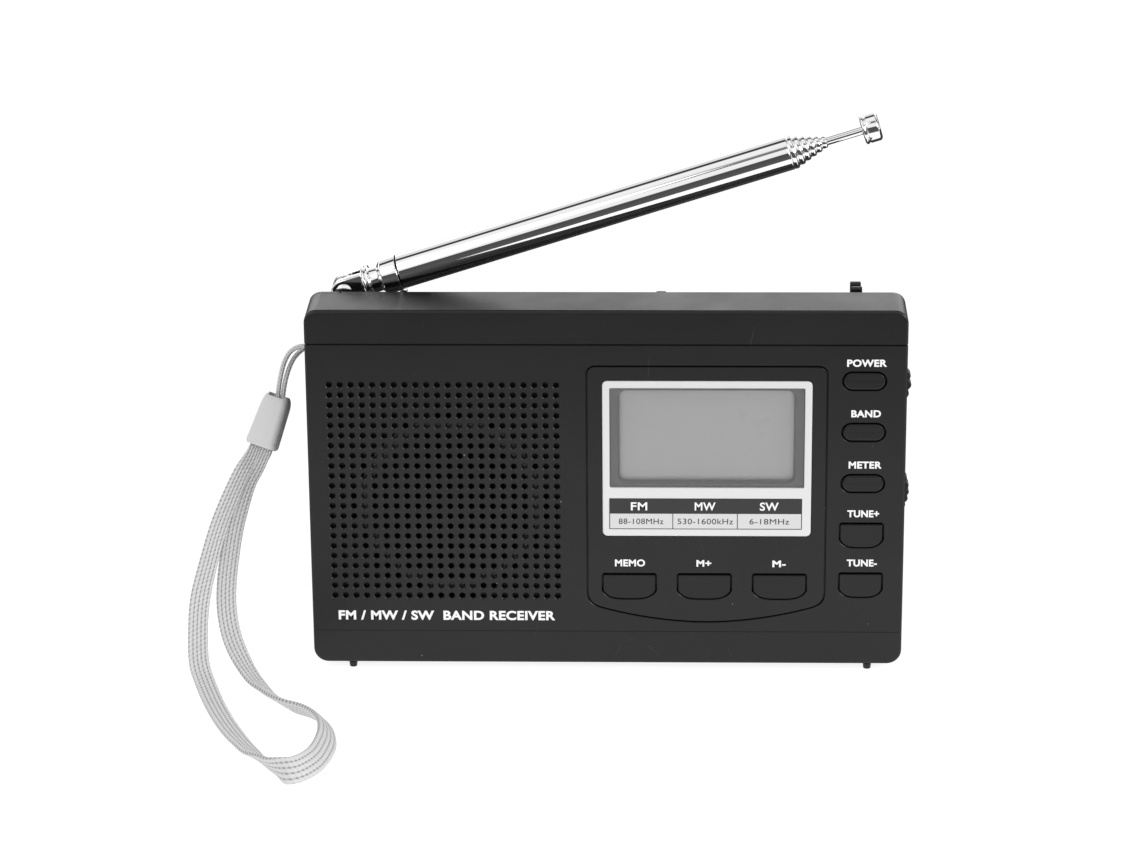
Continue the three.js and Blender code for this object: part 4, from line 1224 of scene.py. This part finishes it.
legends = {
    "key_legends": ("ink_white", case["front"], [
        ("POWER", 51.9, 66.3, 1.45, 7.9, 0.035), ("BAND", 51.9, 55.65, 1.45, 5.9, 0.035),
        ("METER", 51.9, 44.75, 1.45, 6.6, 0.035), ("TUNE+", 51.7, 34.3, 1.45, 6.4, 0.035),
        ("TUNE-", 51.6, 23.65, 1.45, 6.1, 0.035), ("MEMO", 4.75, 23.5, 1.45, 6.1, 0.035),
        ("M+", 19.7, 23.45, 1.4, 3.0, 0.035), ("M-", 34.9, 23.4, 1.4, 2.7, 0.035),
    ]),
    "receiver_legend": (
        "ink_white", case["front"], [("FM / MW / SW  BAND RECEIVER", -32.6, 11.9, 1.95, 44.2, 0.035)],
    ),
    "band_legends": ("ink_white", case["front"] - display["proud"] - bandTable["proud"], [
        ("FM", 6.6, 35.85, 1.75, 3.3, 0.02), ("MW", 19.9, 35.85, 1.75, 4.2, 0.02),
        ("SW", 32.8, 35.85, 1.75, 3.8, 0.02),
    ]),
    "band_numbers": ("ink_black", case["front"] - display["proud"] - bandTable["proud"] - 0.015, [
        ("88-108MHz", 7.0, 32.6, 1.25, 9.0, 0.0), ("530-1600kHz", 19.95, 32.6, 1.25, 11.2, 0.0),
        ("6-18MHz", 32.85, 32.6, 1.25, 8.0, 0.0),
    ]),
}


letters = {"capHeight": 0.729, "extrude": 0.02, "spacing": 1.06, "raised": 0.02, "sunk": 0.006}


def lettering(words, x, z, tall, wide, bold, y):
    data = bpy.data.curves.new(words, "FONT")
    data.body = words
    data.size = 1
    data.offset = bold
    data.extrude = letters["extrude"]
    data.space_character = letters["spacing"]
    data.resolution_u = 5
    shown = linked(words, data)
    bpy.context.view_layer.update()
    mesh = evaluated(shown)
    bpy.data.objects.remove(shown)
    xs = [v.co.x for v in mesh.vertices]
    scaleX, scaleZ = wide / (max(xs) - min(xs)), tall / letters["capHeight"]
    middle = (max(xs) + min(xs)) / 2
    for v in mesh.vertices:
        across, up, out = v.co
        deep = y - letters["raised"] if out > 0 else y + letters["sunk"]
        high = z + (up - letters["capHeight"] / 2) * scaleZ
        v.co = Vector((x + (across - middle) * scaleX, deep, high)) * mm
    return linked("letters", mesh)


def makeLegends():
    for name, (ink, y, lines) in legends.items():
        made = gathered(name, [lettering(*line, y) for line in lines])
        fitted(made, ink, body="case")


makePanel()
makeKeys()
makeWheels()
makeDisplay()
makeBandTable()
makeLegends()
print("panel, keys and display ready")

# ---- telescopic antenna, made along +X from its pivot and tilted into place

antenna = {
    "pivot": (-53.2, 6, 75.7), "tilt": 17.7, "tongue": 1.6, "bladeHalf": 2.6, "bladeThick": 1.4,
    "bladeGap": 0.25,
    "tubes": [
        (12, 95.5, 3.5, 3.2), (16, 96.8, 3.05, 2.75), (17.5, 98.1, 2.6, 2.3), (19, 99.4, 2.15, 1.85),
        (20.5, 100.7, 1.72, 1.42), (22, 102, 1.28, 1.02),
    ],
    "rod": (24, 109.3, 0.85), "tipStart": 109.4, "tipRadius": 3,
}
pivotPlace = Matrix.Translation(Vector(antenna["pivot"]) * mm)
armPlace = pivotPlace @ Matrix.Rotation(-math.radians(antenna["tilt"]), 4, "Y")


def softened(profile, corner=0.12):  # rounds each corner of a turned profile a little
    made = [profile[0]]
    for before, here, after in zip(profile, profile[1:], profile[2:]):
        a, b, c = (Vector(p) for p in (before, here, after))
        reach = min(corner, (a - b).length * 0.45, (c - b).length * 0.45)
        start, end = b + (a - b).normalized() * reach, b + (c - b).normalized() * reach
        for t in (0, 0.3, 0.7, 1):
            made.append(tuple(start * (1 - t) ** 2 + b * 2 * t * (1 - t) + end * t * t))
    return made + [profile[-1]]


def makeSwivel():
    step = case["stepZ"] - antenna["pivot"][2]
    tall = step + 1.3
    base = [(step + 0.25, 0), (step + 0.25, 4.05), (step + 0.9, 4.05), (tall, 3.6), (tall, 0)]
    made = placed(spun("antenna_turntable", softened(base, 0.15), 64), along("z", 0, 0, 0))
    stem = rod("stem", "z", step - 5, step + 0.6, 0, 0, 2.2, 40)
    half = antenna["tongue"] / 2
    outline = [(-2.3, tall - 0.2), (2.3, tall - 0.2)] + arc(0, 0, 2.3, 0, 180, 20)
    tongue = pressed("tongue", outline, -half, half, 0.15, 0.15)
    join(made, stem, tongue)
    cut(made, rod("bore", "y", -3, 3, 0, 0, 1.1, 32), rod("tap", "z", step - 6, step - 1, 0, 0, 0.9, 24))
    placed(made, pivotPlace)
    return fitted(made, "chrome", "antenna_swivel", sharpest=38)


def makeRoot():
    profile = [
        (4.2, 0), (4.2, 3), (4.6, 3.38), (4.9, 3.38), (5.1, 2.8), (5.3, 3.38), (5.7, 3.38), (5.9, 2.6),
        (7.6, 2.6), (7.9, 3), (8.5, 3.6), (11.15, 3.68), (11.7, 3.68), (11.7, 0),
    ]
    made = spun("antenna_clevis", softened(profile, 0.14), 72)
    inner = antenna["tongue"] / 2 + antenna["bladeGap"]
    outer = inner + antenna["bladeThick"]
    half = antenna["bladeHalf"]
    outline = [(4.4, -half), (4.4, half)] + arc(0, 0, half, 90, 270, 24)
    for side in (-1, 1):
        y0, y1 = (-outer, -inner) if side < 0 else (inner, outer)
        outside, inside = (0.45, 0.1) if side < 0 else (0.1, 0.45)
        join(made, pressed("blade", outline, y0, y1, outside, inside, steps=5))
    turns = [math.pi * (i / 12 - 0.5) for i in range(13)]
    ball = spun("lug", [(math.sin(t) * 0.8, max(0.0, math.cos(t) * 0.8)) for t in turns], 24)
    join(made, placed(ball, Matrix.Translation(Vector((11.4, -0.6, -3.7)) * mm)))
    cut(made, rod("bore", "y", -4, 4, 0, 0, 1.1, 32))
    placed(made, armPlace)
    return fitted(made, "chrome", "antenna_root", sharpest=38)


def makePin():
    reach = antenna["tongue"] / 2 + antenna["bladeGap"] + antenna["bladeThick"]
    dome = [
        (reach + 0.05, 1.02), (reach + 0.05, 1.74), (reach + 0.3, 1.7), (reach + 0.52, 1.35),
        (reach + 0.65, 0.8), (reach + 0.7, 0),
    ]
    profile = [(-a, r) for a, r in reversed(dome)] + dome
    made = placed(spun("antenna_rivet", profile, 48), armPlace @ along("y", 0, 0, 0))
    return fitted(made, "chrome", "antenna_pin", sharpest=45)


def makeTubes():
    for index, (start, end, outer, inner) in enumerate(antenna["tubes"], 1):
        lip = outer - 0.16
        profile = [
            (start, inner), (start, outer), (end - 1.25, outer), (end - 1.15, outer - 0.09),
            (end - 1.0, outer - 0.09), (end - 0.9, outer), (end - 0.45, outer), (end - 0.18, lip + 0.08),
            (end, lip - 0.12), (end, inner - 0.06), (end - 0.5, inner - 0.03),
        ]
        made = placed(spun("antenna_section_%d" % index, softened(profile, 0.08), 80, looped=True), armPlace)
        fitted(made, "chrome", "antenna_tube_%d" % index, sharpest=45)


def makeTip():
    start, end, radius = antenna["rod"]
    profile = softened([(start, 0), (start, radius), (end, radius), (end, 0)], 0.05)
    fitted(placed(spun("antenna_core", profile, 40), armPlace), "chrome", "antenna_rod")
    a, r = antenna["tipStart"], antenna["tipRadius"]
    profile = [
        (a, 0), (a, r - 0.35), (a + 0.2, r), (a + 0.6, r), (a + 0.75, r - 0.22), (a + 0.95, r - 0.22),
        (a + 1.1, r - 0.04), (a + 3.1, r - 0.04), (a + 3.5, r - 0.45), (a + 3.5, 0.9), (a + 3.3, 0.7),
        (a + 3.3, 0),
    ]
    knob = placed(spun("antenna_knob", softened(profile, 0.12), 64), armPlace)
    fitted(knob, "chrome", "antenna_tip", sharpest=45)


makeSwivel()
makeRoot()
makePin()
makeTubes()
makeTip()
print("antenna ready")

# ---- inner pieces keep their own shape and take a finish

innerFinishes = {
    "reflector_white": ("lcd_reflector",),
    "board_green": ("main_board",),
    "chip_resin": ("tuner_chip", "audio_chip"),
    "socket_black": ("earphone_jack", "supply_jack", "antenna_wire"),
    "control_grey": ("volume_control", "tuning_encoder"),
    "steel_plain": (
        "speaker_frame", "bridge_contact", "positive_contact", "negative_contact", "antenna_screw",
    ),
    "paper_black": ("speaker_cone",),
    "ferrite_grey": ("speaker_magnet", "ferrite_rod"),
    "copper_wire": ("ferrite_coil",),
    "cell_jacket": ("battery_cell_1", "battery_cell_2"),
    "red_jacket": ("speaker_wire",),
}
for look, nodes in innerFinishes.items():
    for node in nodes:
        dressed(frame["nodes"][node], look)
print("inner pieces ready:", sum(len(nodes) for nodes in innerFinishes.values()))
